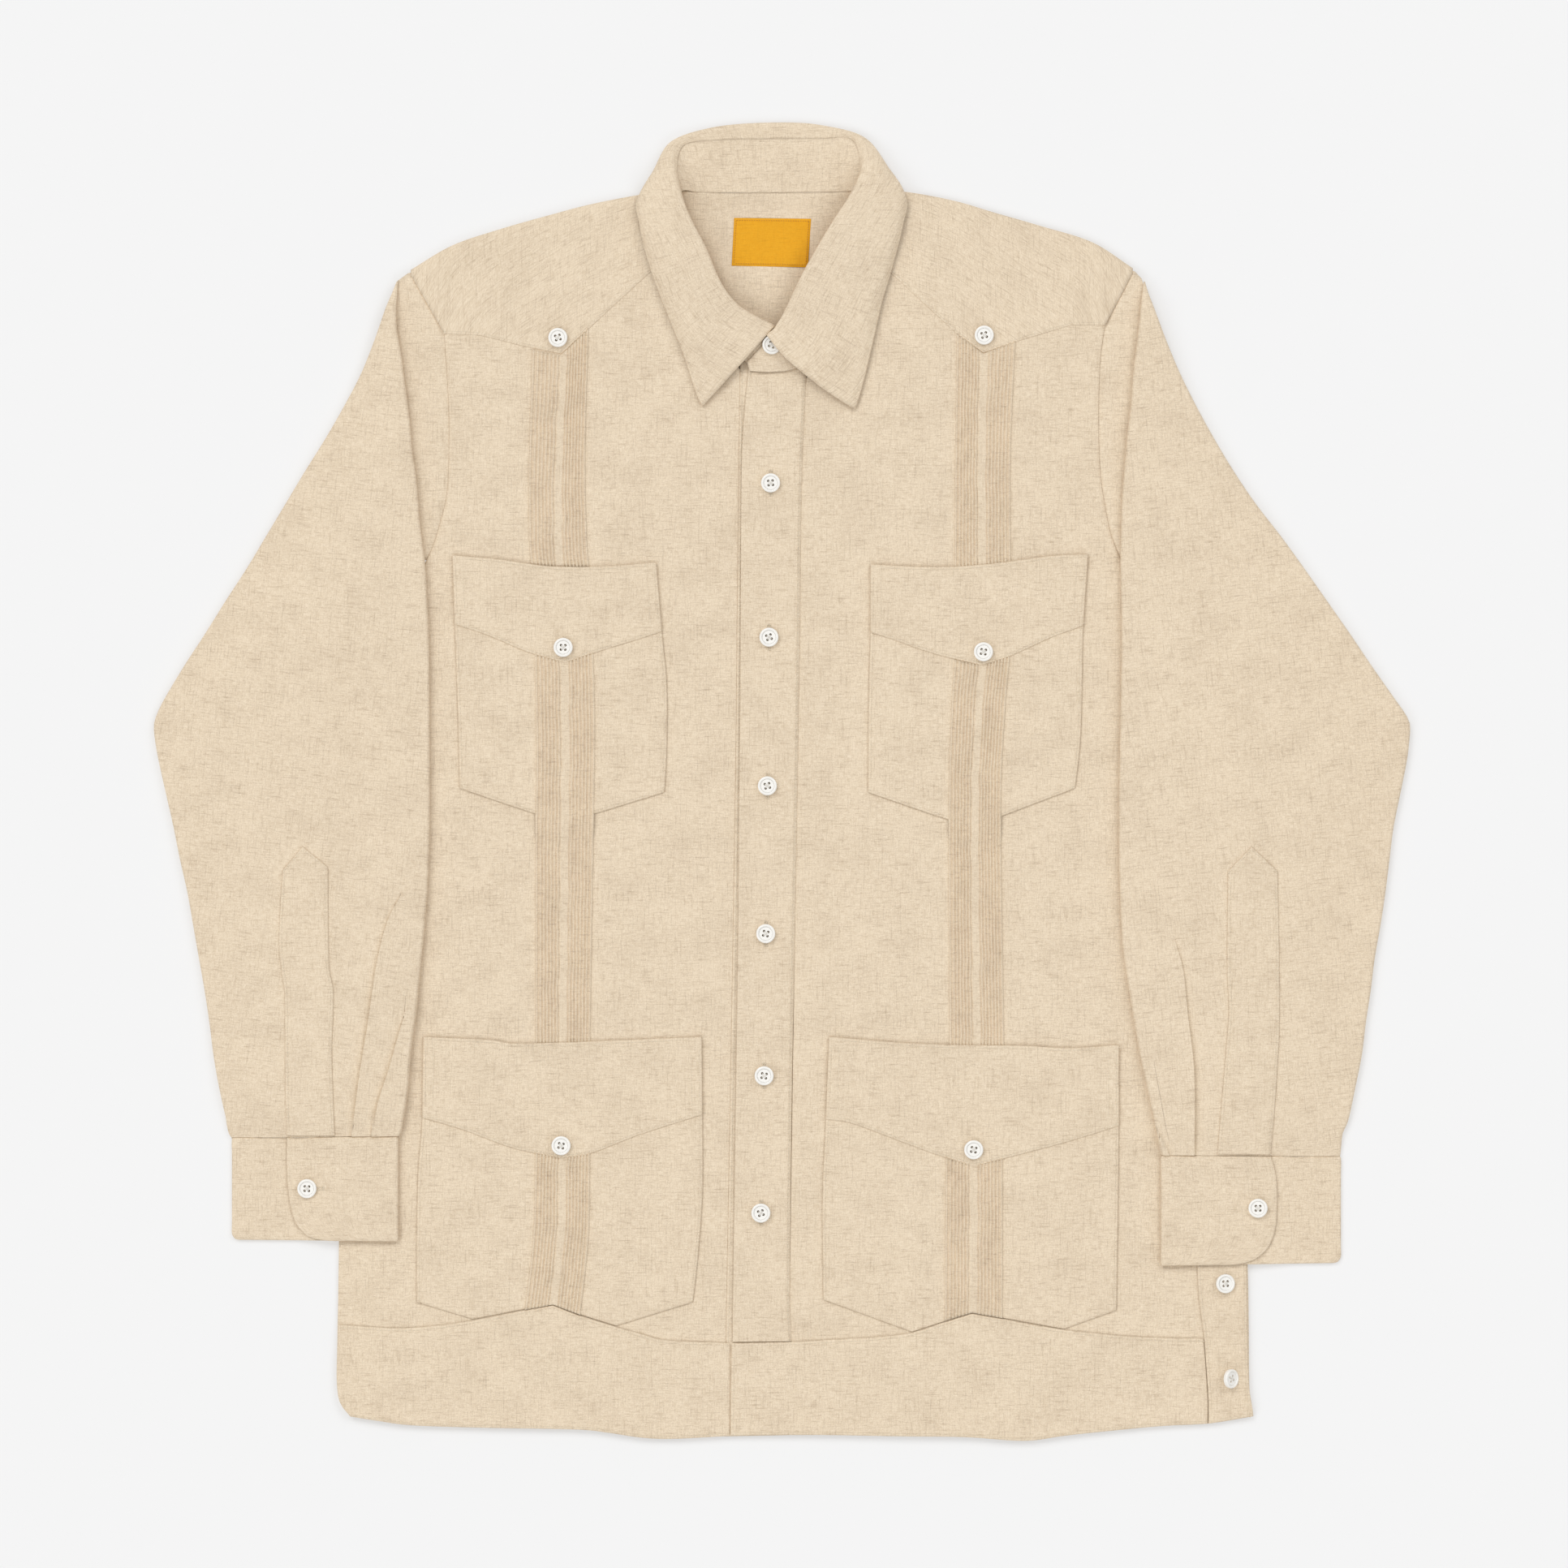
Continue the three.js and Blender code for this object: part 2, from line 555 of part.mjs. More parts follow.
// One ring of the tube, drawn in by inset to give the inside of the wall.
function sleeveRing(s, y, inset) {
  const { outer, inner } = sleeveSpan(s, y);
  const near = inner + inset;
  const far = outer - inset;
  const round = FOLD / 2 - inset;
  const kink = table(s.bodyEdge, y) + 1;
  const within = (a, k) => Math.min(far - round - (4 - k) * 0.4, Math.max(near + round + k * 0.4, a));
  const lowerAt = [near + round, mix(near, kink, 0.5), kink, kink + STEP_DOWN / 2,
    kink + STEP_DOWN, far - round];
  const lowers = lowerAt.map((a, k) => (k === 0 || k === 5 ? a : within(a, k)));
  const uppers = spread(6).map((t) => mix(far - round, near + round, t));
  const lowZ = (a) => sleeveUnder(s, a, y) + inset;
  const highZ = (a) => sleeveTop(s, a, y) - inset;
  const end = (a, side) => {
    const middle = (lowZ(a) + highZ(a)) / 2;
    const half = (highZ(a) - lowZ(a)) / 2;
    const tip = a + side * round;
    const step = a + side * round * 0.75;
    const ring = [[step, middle - half * 0.66], [tip, middle], [step, middle + half * 0.66]];
    return side > 0 ? ring : ring.reverse();
  };
  return [
    ...lowers.map((a) => [a, lowZ(a)]),
    ...end(far - round, 1),
    ...uppers.map((a) => [a, highZ(a)]),
    ...end(near + round, -1),
  ].map(([a, z]) => [s.sign * a, y, z]);
}
function tube(outerRings, innerRings, reversed) {
  const n = outerRings[0].length;
  const m = outerRings.length;
  const positions = [...outerRings.flat(), ...innerRings.flat()].flat();
  const faces = [];
  const quad = (a, b, c, d) => (reversed ? faces.push(a, c, b, a, d, c) : faces.push(a, b, c, a, c, d));
  const out = (i, j) => i * n + (j % n);
  const inn = (i, j) => m * n + i * n + (j % n);
  for (let j = 0; j < n; j++) {
    for (let i = 0; i < m - 1; i++) {
      quad(out(i, j), out(i, j + 1), out(i + 1, j + 1), out(i + 1, j));
      quad(inn(i, j + 1), inn(i, j), inn(i + 1, j), inn(i + 1, j + 1));
    }
    quad(out(0, j + 1), out(0, j), inn(0, j), inn(0, j + 1));
    quad(out(m - 1, j), out(m - 1, j + 1), inn(m - 1, j + 1), inn(m - 1, j));
  }
  return solid(positions, faces);
}
for (const [side, s] of Object.entries(SLEEVES)) {
  const ys = s.sections.map((r) => r.y);
  const body = tube(
    ys.map((y) => sleeveRing(s, y, 0)),
    ys.map((y) => sleeveRing(s, y, WALL)),
    s.sign < 0,
  );
  const world = (points) => edge(...points.map(([a, y]) => [s.sign * a, y]));
  const seam = world(s.head.seam);
  const hidden = world(s.head.hidden);
  const [left, right] = s.sign > 0 ? [seam, hidden] : [hidden, seam];
  const headForm = panel({
    top: edge(left(0), right(0)),
    bottom: edge(left(1), right(1)),
    left,
    right,
  });
  const rowsDown = seam.knots;
  const headShare = s.sign > 0 ? [0, 0.35, 0.68, 1] : [0, 0.32, 0.65, 1];
  const climb = (u) => (s.sign > 0 ? clamp01((u - 0.68) / 0.32) : clamp01((0.32 - u) / 0.32));
  const headGrid = (lift) =>
    rowsDown.map((v) =>
      headShare.map((u) => {
        const [x, y] = headForm(u, v);
        const z = ON_BACK + swell(x, y) + climb(u) * (PLY + 0.25) + lift;
        return new THREE.Vector3(x, y, z);
      }).reverse(),
    );
  const head = shell(headGrid(WALL), headGrid(0));
  add("sleeve_" + side, fromManifold(toManifold(body).add(toManifold(head))));
}

// Pointed plackets over the sleeve slits
const SLEEVE_PLACKETS = {
  right: {
    top: [[-307, -54.5], [-295, -40.5], [-279.5, -52.5]],
    left: [[-307, -54.5], [-309.5, -97.5], [-306, -132], [-305.5, -183.5], [-305, -217.8]],
    right: [[-279.5, -52.5], [-278.5, -111], [-275.5, -130], [-277, -166], [-275.5, -217.8]],
  },
  left: {
    top: [[274.5, -55.5], [289, -40.5], [305, -55]],
    left: [[274.5, -55.5], [274, -114], [275, -141], [272, -180], [268, -229.3]],
    right: [[305, -55], [306, -153.5], [304, -189], [301, -229.3]],
  },
};
for (const [side, p] of Object.entries(SLEEVE_PLACKETS)) {
  const s = SLEEVES[side];
  const form = panel({
    top: edge(...p.top),
    bottom: edge(p.left[p.left.length - 1], p.right[p.right.length - 1]),
    left: edge(...p.left),
    right: edge(...p.right),
  });
  const on = (x, y) => sleeveTop(s, Math.abs(x), y) + GAP;
  add("sleeve_placket_" + side, laid(form, [0, 0.25, 0.5, 0.75, 1], spread(9), on));
}

// ---- Cuffs: a band round the wrist, its rounded upper end lapped over the lower one

const CUFFS = {
  right: {
    inner: 236, outer: 339, lap: 285,
    rows: [
      { y: -218.5, end: 304.8 }, { y: -232, end: 305 }, { y: -258, end: 303 },
      { y: -271, end: 300 }, { y: -279, end: 293 }, { y: -282.5, end: 281 },
    ],
  },
  left: {
    inner: 233, outer: 344, lap: 283,
    rows: [
      { y: -230.2, end: 301.5 }, { y: -243, end: 304.5 }, { y: -270, end: 304.5 },
      { y: -285, end: 300 }, { y: -293, end: 293 }, { y: -296.8, end: 281 },
    ],
  },
};
// The stiff upper end bridges the step where the band comes off the body.
const BRIDGE = 0.4;
const cuffTop = (s, across, y) => sleeveUnder(s, across, y) + 2 * PLY + WALL + BRIDGE;
for (const [side, c] of Object.entries(CUFFS)) {
  const s = SLEEVES[side];
  const half = WALL / 2;
  const rows = c.rows.map(({ y, end }) => {
    const kink = table(s.bodyEdge, y) + 1;
    const near = c.inner + 1.8;
    const far = c.outer - 1.2;
    const level = (a, ply) => [a, sleeveUnder(s, a, y) + ply * PLY + half];
    const path = [
      level(end, 2),
      level(Math.min(end - 3, kink), 2),
      level(mix(near, kink, 0.4), 2),
      level(near, 2),
      [c.inner + half, sleeveUnder(s, near, y) + PLY + half],
      level(near, 0),
      level(mix(near, kink, 0.5), 0),
      level(kink, 0),
      level(kink + STEP_DOWN, 0),
      level(far, 0),
      [c.outer - half, PLY / 2 + half],
      level(far, 1),
      level(kink + STEP_DOWN, 1),
      level(c.lap, 1),
    ];
    return path.map(([a, z]) => new THREE.Vector3(s.sign * a, y, z));
  });
  add("cuff_" + side, cloth(s.sign > 0 ? rows.map((r) => [...r].reverse()) : rows));
}

// ---- Collar: a stand round the neck and a leaf turned down over it.
// At the back both lie flat with the leaf underneath; over the shoulders the fold stands up.
// Neck and top are the stand's edges; crown, turn, fall and edge lead the leaf to its outer edge.
const COLLAR = [
  { neck: [9, 254.5, 5.1], top: [7, 277.5, 5.3] },
  { neck: [-6, 254, 5.1], top: [-5, 277.5, 5.9],
    crown: [-5, 279.5, 7.8], turn: [-16, 267, 7.9], fall: [-34, 247, 6.8], edge: [-49, 231, 5.6] },
  { neck: [-20, 257.5, 5.1], top: [-14, 282, 7.3],
    crown: [-14, 284, 9.6], turn: [-27, 271, 9.8], fall: [-43, 254, 8.2], edge: [-54, 242, 5.8] },
  { neck: [-40, 273, 5.1], top: [-28, 292, 9.3],
    crown: [-29, 293.5, 12], turn: [-42, 285, 12], fall: [-54, 272, 10.5], edge: [-62, 266, 6] },
  { neck: [-54, 293, 5.1], top: [-38.5, 306, 11.2],
    crown: [-39.5, 307.5, 14], turn: [-53, 300, 14.2], fall: [-65, 293, 11.5], edge: [-73, 293, 6.2] },
  { neck: [-63, 317, 5.1], top: [-47, 326, 12.5],
    crown: [-48, 327.5, 15.5], turn: [-62, 322, 15.5], fall: [-76, 318, 12], edge: [-83, 320, 6.4] },
  { neck: [-68, 341, 5.2], top: [-56, 344, 12.5],
    crown: [-57, 345, 15.6], turn: [-70, 343, 15], fall: [-83, 342, 11.5], edge: [-88.5, 343, 6.6] },
  { neck: [-69.5, 356, 5.6], top: [-62, 361, 11],
    crown: [-64, 361.5, 14], turn: [-76, 362, 13], fall: [-86, 361, 9.5], edge: [-88, 359, 6] },
  { neck: [-61.5, 364, 3.8], top: [-65, 378, 6.5],
    crown: [-69, 379, 9], turn: [-76, 377, 6.5], fall: [-76, 374, 2.6], edge: [-72, 370.5, 1] },
  { neck: [-52, 363.2, 1.8], top: [-58, 393, 2.6],
    crown: [-64, 395.5, 3.4], turn: [-66, 395.5, 1.6], fall: [-63, 392, 0.5], edge: [-56, 367, 0.5] },
  { neck: [-34, 363, 1.8], top: [-36, 395.5, 2],
    crown: [-38, 401.5, 2.6], turn: [-38, 403.3, 1.5], fall: [-38, 399.5, 0.5], edge: [-35, 365, 0.5] },
  { neck: [-6, 363, 1.8], top: [-6, 396.5, 2],
    crown: [-6, 404, 2.6], turn: [-6, 405.5, 1.5], fall: [-6, 401.5, 0.5], edge: [-6, 365, 0.5] },
  { neck: [22, 363.3, 1.8], top: [24, 396.5, 2],
    crown: [24, 402.8, 2.6], turn: [24, 404.2, 1.5], fall: [24, 400, 0.5], edge: [23, 365.3, 0.5] },
  { neck: [40, 363.5, 1.8], top: [44, 394, 2.6],
    crown: [47, 397, 3.4], turn: [48.5, 397.5, 1.6], fall: [46, 393, 0.5], edge: [42, 367, 0.5] },
  { neck: [49, 364, 2.6], top: [49, 378, 6.5],
    crown: [53, 381, 9], turn: [62, 380, 6.5], fall: [63, 376, 2.6], edge: [60, 371, 1] },
  { neck: [55, 357, 5.2], top: [44, 361, 11],
    crown: [46, 361.5, 14], turn: [59, 363, 13], fall: [72, 363, 9.5], edge: [76, 359, 6] },
  { neck: [54, 341, 5.2], top: [31.5, 343, 12.5],
    crown: [32.5, 344, 15.6], turn: [47, 343, 15], fall: [66, 343, 11.5], edge: [74.5, 343, 6.6] },
  { neck: [49, 317, 5.1], top: [21.5, 325, 12.5],
    crown: [22.5, 326.5, 15.5], turn: [38, 322, 15.5], fall: [60, 319, 12], edge: [69, 320, 6.4] },
  { neck: [41, 293, 5.1], top: [11.5, 307, 11.5],
    crown: [12.5, 308.5, 14.2], turn: [30, 302, 14.4], fall: [52, 295, 11.5], edge: [61.5, 295, 6.4] },
  { neck: [28, 272, 5.6], top: [3.5, 290, 10.5],
    crown: [4.5, 291.5, 13.2], turn: [20, 285, 13.2], fall: [43, 272, 11], edge: [54.5, 266, 6.6] },
  { neck: [10, 255.5, 6.4], top: [-3, 279, 8.6],
    crown: [-2.8, 279.8, 12], turn: [11, 270, 12], fall: [34, 251, 10], edge: [49.5, 244, 6.6] },
  { neck: [-6, 252.3, 6.4], top: [-8, 276, 7],
    crown: [-8.5, 277, 12.2], turn: [3, 263, 12.4], fall: [24, 243, 9.4], edge: [44, 229, 6.4] },
  { neck: [-20, 253.5, 6.4], top: [-20.5, 260.5, 6.4] },
];
const at3 = (p) => new THREE.Vector3(...p);
const standRows = [0, 0.35, 0.7, 1].map((t) =>
  COLLAR.map((c) => at3(c.neck).lerp(at3(c.top), t)),
);
add("collar_stand", cloth(standRows));

const leafStations = COLLAR.filter((c) => c.crown);
const leafRows = [
  leafStations.map((c) => {
    const outward = at3(c.crown).sub(at3(c.top)).normalize();
    return at3(c.top).addScaledVector(outward, 1.1);
  }),
  ...["crown", "turn", "fall", "edge"].map((k) => leafStations.map((c) => at3(c[k]))),
];
add("collar_leaf", cloth(leafRows));

// Neck label, plain, sewn to the inside of the yoke
const label = panel({
  top: edge([-29.5, 347.5], [18, 347]),
  bottom: edge([-31, 318], [16, 317]),
  left: edge([-29.5, 347.5], [-31, 318]),
  right: edge([18, 347], [16, 317]),
});
add("label", laid(label, spread(2), spread(2), () => PLY), YELLOW);

// ---- Buttons, four-holed

const disc = new THREE.Shape().absarc(0, 0, BUTTON_RADIUS, 0, 2 * Math.PI);
for (const [sx, sy] of [[1, 1], [-1, 1], [-1, -1], [1, -1]]) {
  const c = BUTTON_HOLES * Math.SQRT1_2;
  disc.holes.push(new THREE.Path().absarc(sx * c, sy * c, HOLE_RADIUS, 0, 2 * Math.PI, true));
}
const buttonForm = new THREE.ExtrudeGeometry(disc, {
  depth: BUTTON_THICK,
  bevelEnabled: false,
  curveSegments: 10,
});
const onSleeve = (s, f) => (x, y) => f(s, Math.abs(x), y) + GAP;
const BUTTONS = [
  { name: "front_1", x: -7, y: 184, on: lying(ON_POCKET) },
  { name: "front_2", x: -8, y: 89, on: lying(ON_POCKET) },
  { name: "front_3", x: -9, y: -2.5, on: lying(ON_POCKET) },
  { name: "front_4", x: -10, y: -93.5, on: lying(ON_POCKET) },
  { name: "front_5", x: -11, y: -181, on: lying(ON_POCKET) },
  { name: "front_6", x: -13, y: -265.5, on: lying(ON_POCKET) },
  { name: "collar", x: -8, y: 267.5, on: () => 8.3 },
  { name: "yoke_right", x: -138, y: 273.5, on: lying(ON_FRONT) },
  { name: "yoke_left", x: 124.5, y: 275, on: lying(ON_FRONT) },
  { name: "upper_right", x: -135, y: 83, on: lying(ON_FLAP) },
  { name: "upper_left", x: 124, y: 80, on: lying(ON_FLAP) },
  { name: "lower_right", x: -136, y: -224, on: lying(ON_FLAP) },
  { name: "lower_left", x: 118, y: -226.5, on: lying(ON_FLAP) },
  { name: "cuff_right", x: -292.5, y: -250.5, on: onSleeve(SLEEVES.right, cuffTop) },
  { name: "cuff_left", x: 293, y: -262.5, on: onSleeve(SLEEVES.left, cuffTop) },
  { name: "vent_1", x: 273, y: -309, on: lying(ON_POCKET) },
  { name: "vent_2", x: 276.5, y: -367.5, on: lying(ON_POCKET) },
];
for (const b of BUTTONS) {
  const around = [[0, 0], [-1, 0], [1, 0], [0, 1], [0, -1]].map(([i, j]) =>
    b.on(b.x + i * BUTTON_RADIUS, b.y + j * BUTTON_RADIUS),
  );
  const rest = Math.max(...around) + 0.02;
  add("button_" + b.name, buttonForm.clone().translate(b.x, b.y, rest), PEARL);
}

// The origin sits exactly under the middle of the outline.
const outline = new THREE.Box3().setFromObject(group);
group.position.y = -(outline.min.y + outline.max.y) / 2;

export default group;
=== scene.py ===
"""Guayabera shirt in undyed linen, buttoned and laid face up with its sleeves beside the body.

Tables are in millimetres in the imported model's frame: X to the wearer's left, Y to the collar,
Z up off the table. "right" and "left" are the wearer's.
"""
import json
import math

import bmesh
import bpy
import numpy as np
from mathutils import Matrix, Vector

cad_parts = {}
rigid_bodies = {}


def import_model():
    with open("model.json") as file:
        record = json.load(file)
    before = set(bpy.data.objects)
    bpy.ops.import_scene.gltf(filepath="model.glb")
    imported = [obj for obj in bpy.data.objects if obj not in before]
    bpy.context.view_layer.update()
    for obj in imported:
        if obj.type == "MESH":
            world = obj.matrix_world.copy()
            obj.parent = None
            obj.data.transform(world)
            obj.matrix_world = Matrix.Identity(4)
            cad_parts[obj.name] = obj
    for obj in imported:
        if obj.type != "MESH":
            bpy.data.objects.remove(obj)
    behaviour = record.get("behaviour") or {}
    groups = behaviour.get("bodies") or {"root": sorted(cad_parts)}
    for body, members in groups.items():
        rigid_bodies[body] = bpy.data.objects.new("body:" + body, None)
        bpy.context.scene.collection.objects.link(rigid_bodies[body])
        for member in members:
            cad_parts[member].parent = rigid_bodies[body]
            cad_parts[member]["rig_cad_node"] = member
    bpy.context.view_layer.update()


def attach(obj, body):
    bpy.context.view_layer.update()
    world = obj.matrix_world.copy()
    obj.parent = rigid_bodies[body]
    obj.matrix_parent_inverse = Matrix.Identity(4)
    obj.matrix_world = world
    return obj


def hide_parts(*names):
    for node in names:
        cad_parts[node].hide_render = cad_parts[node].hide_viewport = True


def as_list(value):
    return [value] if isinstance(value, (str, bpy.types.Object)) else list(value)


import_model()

MM = 0.001
PLY = 1.3  # one ply of cloth and the gap over it
WALL = 0.9  # thickness of the cloth
ON_BACK, ON_FRONT, ON_POCKET = PLY, 2 * PLY, 3 * PLY
SWELL = 2.0  # how far the fronts stand up over the back in the middle
HALF_BODY = 292.0
HEM_Y = -406.0
STITCH_IN = 1.7  # stitch line from a finished edge
FOLD = 4.6  # height of a flat sleeve at its folds
PUFF = 2.4  # what its middle has over that
STEP_DOWN = 24.0  # how far out a sleeve comes down from the body to the table
OFF_TABLE = 0.02  # the lowest that a face of a turned piece comes
CUFF_DEPTH = 64

scene = bpy.context.scene
rng = np.random.default_rng(7)


# ---------------------------------------------------------------- how the cloth lies


def ripple(x, y, seed=0.0):
    """Slow unevenness of pressed linen, in millimetres."""
    a = np.sin(x / 31.0 + 1.3 + seed) * np.sin(y / 43.0 + 0.4 - seed)
    b = np.sin((x + 0.7 * y) / 23.0 + 2.1 * seed) * 0.5
    c = np.sin((x - 1.6 * y) / 57.0 + 0.9 + seed)
    d = np.sin(x / 13.0 + 2.0 * np.sin(y / 71.0) + seed) * 0.22
    return 0.26 * (a + b + c + d)


def lie(x, y):
    """How far the laid front stands over the back."""
    side = 1 - np.minimum(1, np.abs(x) / HALF_BODY) ** 4
    t = np.clip((y - HEM_Y) / 160.0, 0, 1)
    opening = 0.4 + 0.6 * t * t * (3 - 2 * t)
    return SWELL * side * opening + ripple(x, y) * np.minimum(1, side * 2.5)


def curve_point(p0, p1, p2, p3, s):
    """The share s of the way from p1 to p2, on the smooth curve through four points."""
    return 0.5 * (2 * p1 + (p2 - p0) * s + (2 * p0 - 5 * p1 + 4 * p2 - p3) * s**2
                  + (3 * p1 - p0 - 3 * p2 + p3) * s**3)


def line(*points):
    """A smooth line through points, read by share of length; a point given twice is a corner."""
    runs, run = [], [points[0]]
    for p in points[1:]:
        if tuple(p) == tuple(run[-1]):
            runs.append(run)
            run = [p]
        else:
            run.append(p)
    runs.append(run)
    dense, corners = [np.array(points[0], float)], []
    for k, r in enumerate(runs):
        q = np.array(r, float)
        if len(q) == 2:
            dense.append(q[1])
        elif len(q) > 2:
            q = np.vstack([2 * q[0] - q[1], q, 2 * q[-1] - q[-2]])
            for i in range(1, len(q) - 2):
                dense += [curve_point(*q[i - 1 : i + 3], s) for s in np.linspace(0, 1, 9)[1:]]
        if k < len(runs) - 1:
            corners.append(len(dense) - 1)
    dense = np.array(dense)
    far = run_along(dense)

    def at(t):
        t = np.asarray(t, float) * far[-1]
        return np.stack([np.interp(t, far, dense[:, k]) for k in range(dense.shape[1])], -1)

    at.length = far[-1]
    at.corners = [far[i] / far[-1] for i in corners]
    at.dense = dense
    return at


def spaced(length, coarse=4.0, fine=True, extra=()):
    """Shares of a length, close together near both ends."""
    near = [0, 0.35, 0.8, 1.3, 1.7, 2.1, 2.7, 3.6, 5.2, 7.6] if fine else [0]
    middle = np.arange(near[-1] + coarse, length - near[-1] - coarse * 0.4, coarse)
    d = np.concatenate([near, middle, length - np.array(near)[::-1]]) / length
    for e in extra:
        d[np.argmin(np.abs(d - e))] = e
    return np.unique(np.clip(d, 0, 1))


def tuck_under(y, depth):
    """The front's top end dips to pass below the collar band."""
    return -depth * np.clip((y - 251) / 3.5, 0, 1)


def sewn_down(share):
    """The placket sinks to the front along the edge that is sewn to it."""
    return 0.85 * np.clip(1 - share / 0.07, 0, 1) ** 1.5


class Panel:
    """A four-sided cut: top and bottom run left to right, the sides run downwards."""

    def __init__(self, top, bottom, left, right):
        self.top, self.bottom, self.left, self.right = top, bottom, left, right

    def __call__(self, u, v):
        u, v = np.broadcast_arrays(np.asarray(u, float), np.asarray(v, float))
        t, b, l, r = self.top(u), self.bottom(u), self.left(v), self.right(v)
        tl, tr, bl, br = self.top(0), self.top(1), self.bottom(0), self.bottom(1)
        u, v = u[..., None], v[..., None]
        corners = (tl * (1 - u) + tr * u) * (1 - v) + (bl * (1 - u) + br * u) * v
        return t * (1 - v) + b * v + l * (1 - u) + r * u - corners

    def size(self):
        w = max(self.top.length, self.bottom.length)
        return w, max(self.left.length, self.right.length)

    def area(self):
        t, b = self.top.dense, self.bottom.dense
        l, r = self.left.dense, self.right.dense
        loop = np.vstack([t, r, b[::-1], l[::-1]])
        x, y = loop[:, 0], loop[:, 1]
        return abs(np.dot(x, np.roll(y, -1)) - np.dot(y, np.roll(x, -1))) / 2


# ---------------------------------------------------------------- making meshes


def new_object(name, verts, faces, uv=None):
    """A smooth-shaded piece from points in millimetres, with its grain as a UV map in metres."""
    mesh = bpy.data.meshes.new(name)
    mesh.from_pydata((np.asarray(verts) * MM).tolist(), [], np.asarray(faces).tolist())
    if uv is not None:
        layer = mesh.uv_layers.new(name="grain")
        loops = np.empty(len(mesh.loops), np.int32)
        mesh.loops.foreach_get("vertex_index", loops)
        layer.data.foreach_set("uv", (np.asarray(uv)[loops] * MM).astype(np.float32).ravel())
    mesh.validate()
    obj = bpy.data.objects.new(name, mesh)
    scene.collection.objects.link(obj)
    mesh.polygons.foreach_set("use_smooth", np.ones(len(mesh.polygons), bool))
    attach(obj, "root")
    return obj


def deselect():
    bpy.ops.object.select_all(action="DESELECT")


def faces_out(mesh):
    """Turns every face outwards, and drops points that no face uses."""
    bm = bmesh.new()
    bm.from_mesh(mesh)
    bmesh.ops.delete(bm, geom=[v for v in bm.verts if not v.link_faces], context="VERTS")
    bmesh.ops.recalc_face_normals(bm, faces=bm.faces)
    bm.to_mesh(mesh)
    bm.free()


def both_faces(mid, normal, thick, relief=0.0):
    """The two faces of a turned piece, moved up together where they would pass the table."""
    outer_face = mid + normal * (thick / 2 + relief)
    inner_face = mid - normal * thick / 2
    lift = np.maximum(OFF_TABLE - np.minimum(outer_face[..., 2], inner_face[..., 2]), 0)
    outer_face[..., 2] += lift
    inner_face[..., 2] += lift
    return outer_face, inner_face


def run_along(points):
    """Length run along a line of points, from 0; down each column where points is a grid."""
    step = np.linalg.norm(np.diff(points, axis=0), axis=-1)
    return np.concatenate([np.zeros_like(step[:1]), np.cumsum(step, axis=0)])


def grid_faces(n, m, keep=None):
    i, j = np.meshgrid(np.arange(n - 1), np.arange(m - 1), indexing="ij")
    if keep is not None:
        i, j = i[keep], j[keep]
    i, j = i.ravel(), j.ravel()
    a = i * m + j
    return np.stack([a, a + m, a + m + 1, a + 1], -1)


def shell(upper, lower, keep=None):
    """Vertices and faces of a closed body between an upper and a lower grid."""
    n, m = upper.shape[:2]
    verts = np.vstack([upper.reshape(-1, 3), lower.reshape(-1, 3)])
    top = grid_faces(n, m, keep)
    faces = np.vstack([top, top[:, ::-1] + n * m])
    edges = np.vstack([top[:, [k, (k + 1) % 4]] for k in range(4)])
    keys = edges[:, 0].astype(np.int64) * n * m + edges[:, 1]
    back = edges[:, 1].astype(np.int64) * n * m + edges[:, 0]
    rim = edges[~np.isin(keys, back)]
    walls = np.stack([rim[:, 1], rim[:, 0], rim[:, 0] + n * m, rim[:, 1] + n * m], -1)
    return verts, np.vstack([faces, walls])


def noise1(t, scale, seed):
    """Smooth uneven wave along a seam."""
    return (
        np.sin(t / scale + seed)
        + 0.6 * np.sin(t / scale * 1.73 + 2.3 * seed)
        + 0.4 * np.sin(t / scale * 2.9 + 0.7 * seed)
    ) / 2


def edge_relief(d, along, seed, stitched):
    """Height near a finished edge: rolled rim, welt, sunk stitch line and its puckers."""
    rolled = -0.6 * np.clip(1 - d / 1.4, 0, 1) ** 1.6
    if not stitched:
        return rolled
    sunk = -0.15 * np.exp(-(((d - STITCH_IN) / 0.55) ** 2))
    pucker = 0.13 * noise1(along, 3.4, seed) * np.exp(-((d - STITCH_IN) / 4.0) ** 2)
    welt = 0.2 * np.clip((8.5 - d) / 2.0, 0, 1)
    return rolled + sunk + pucker + welt


piece_count = 0


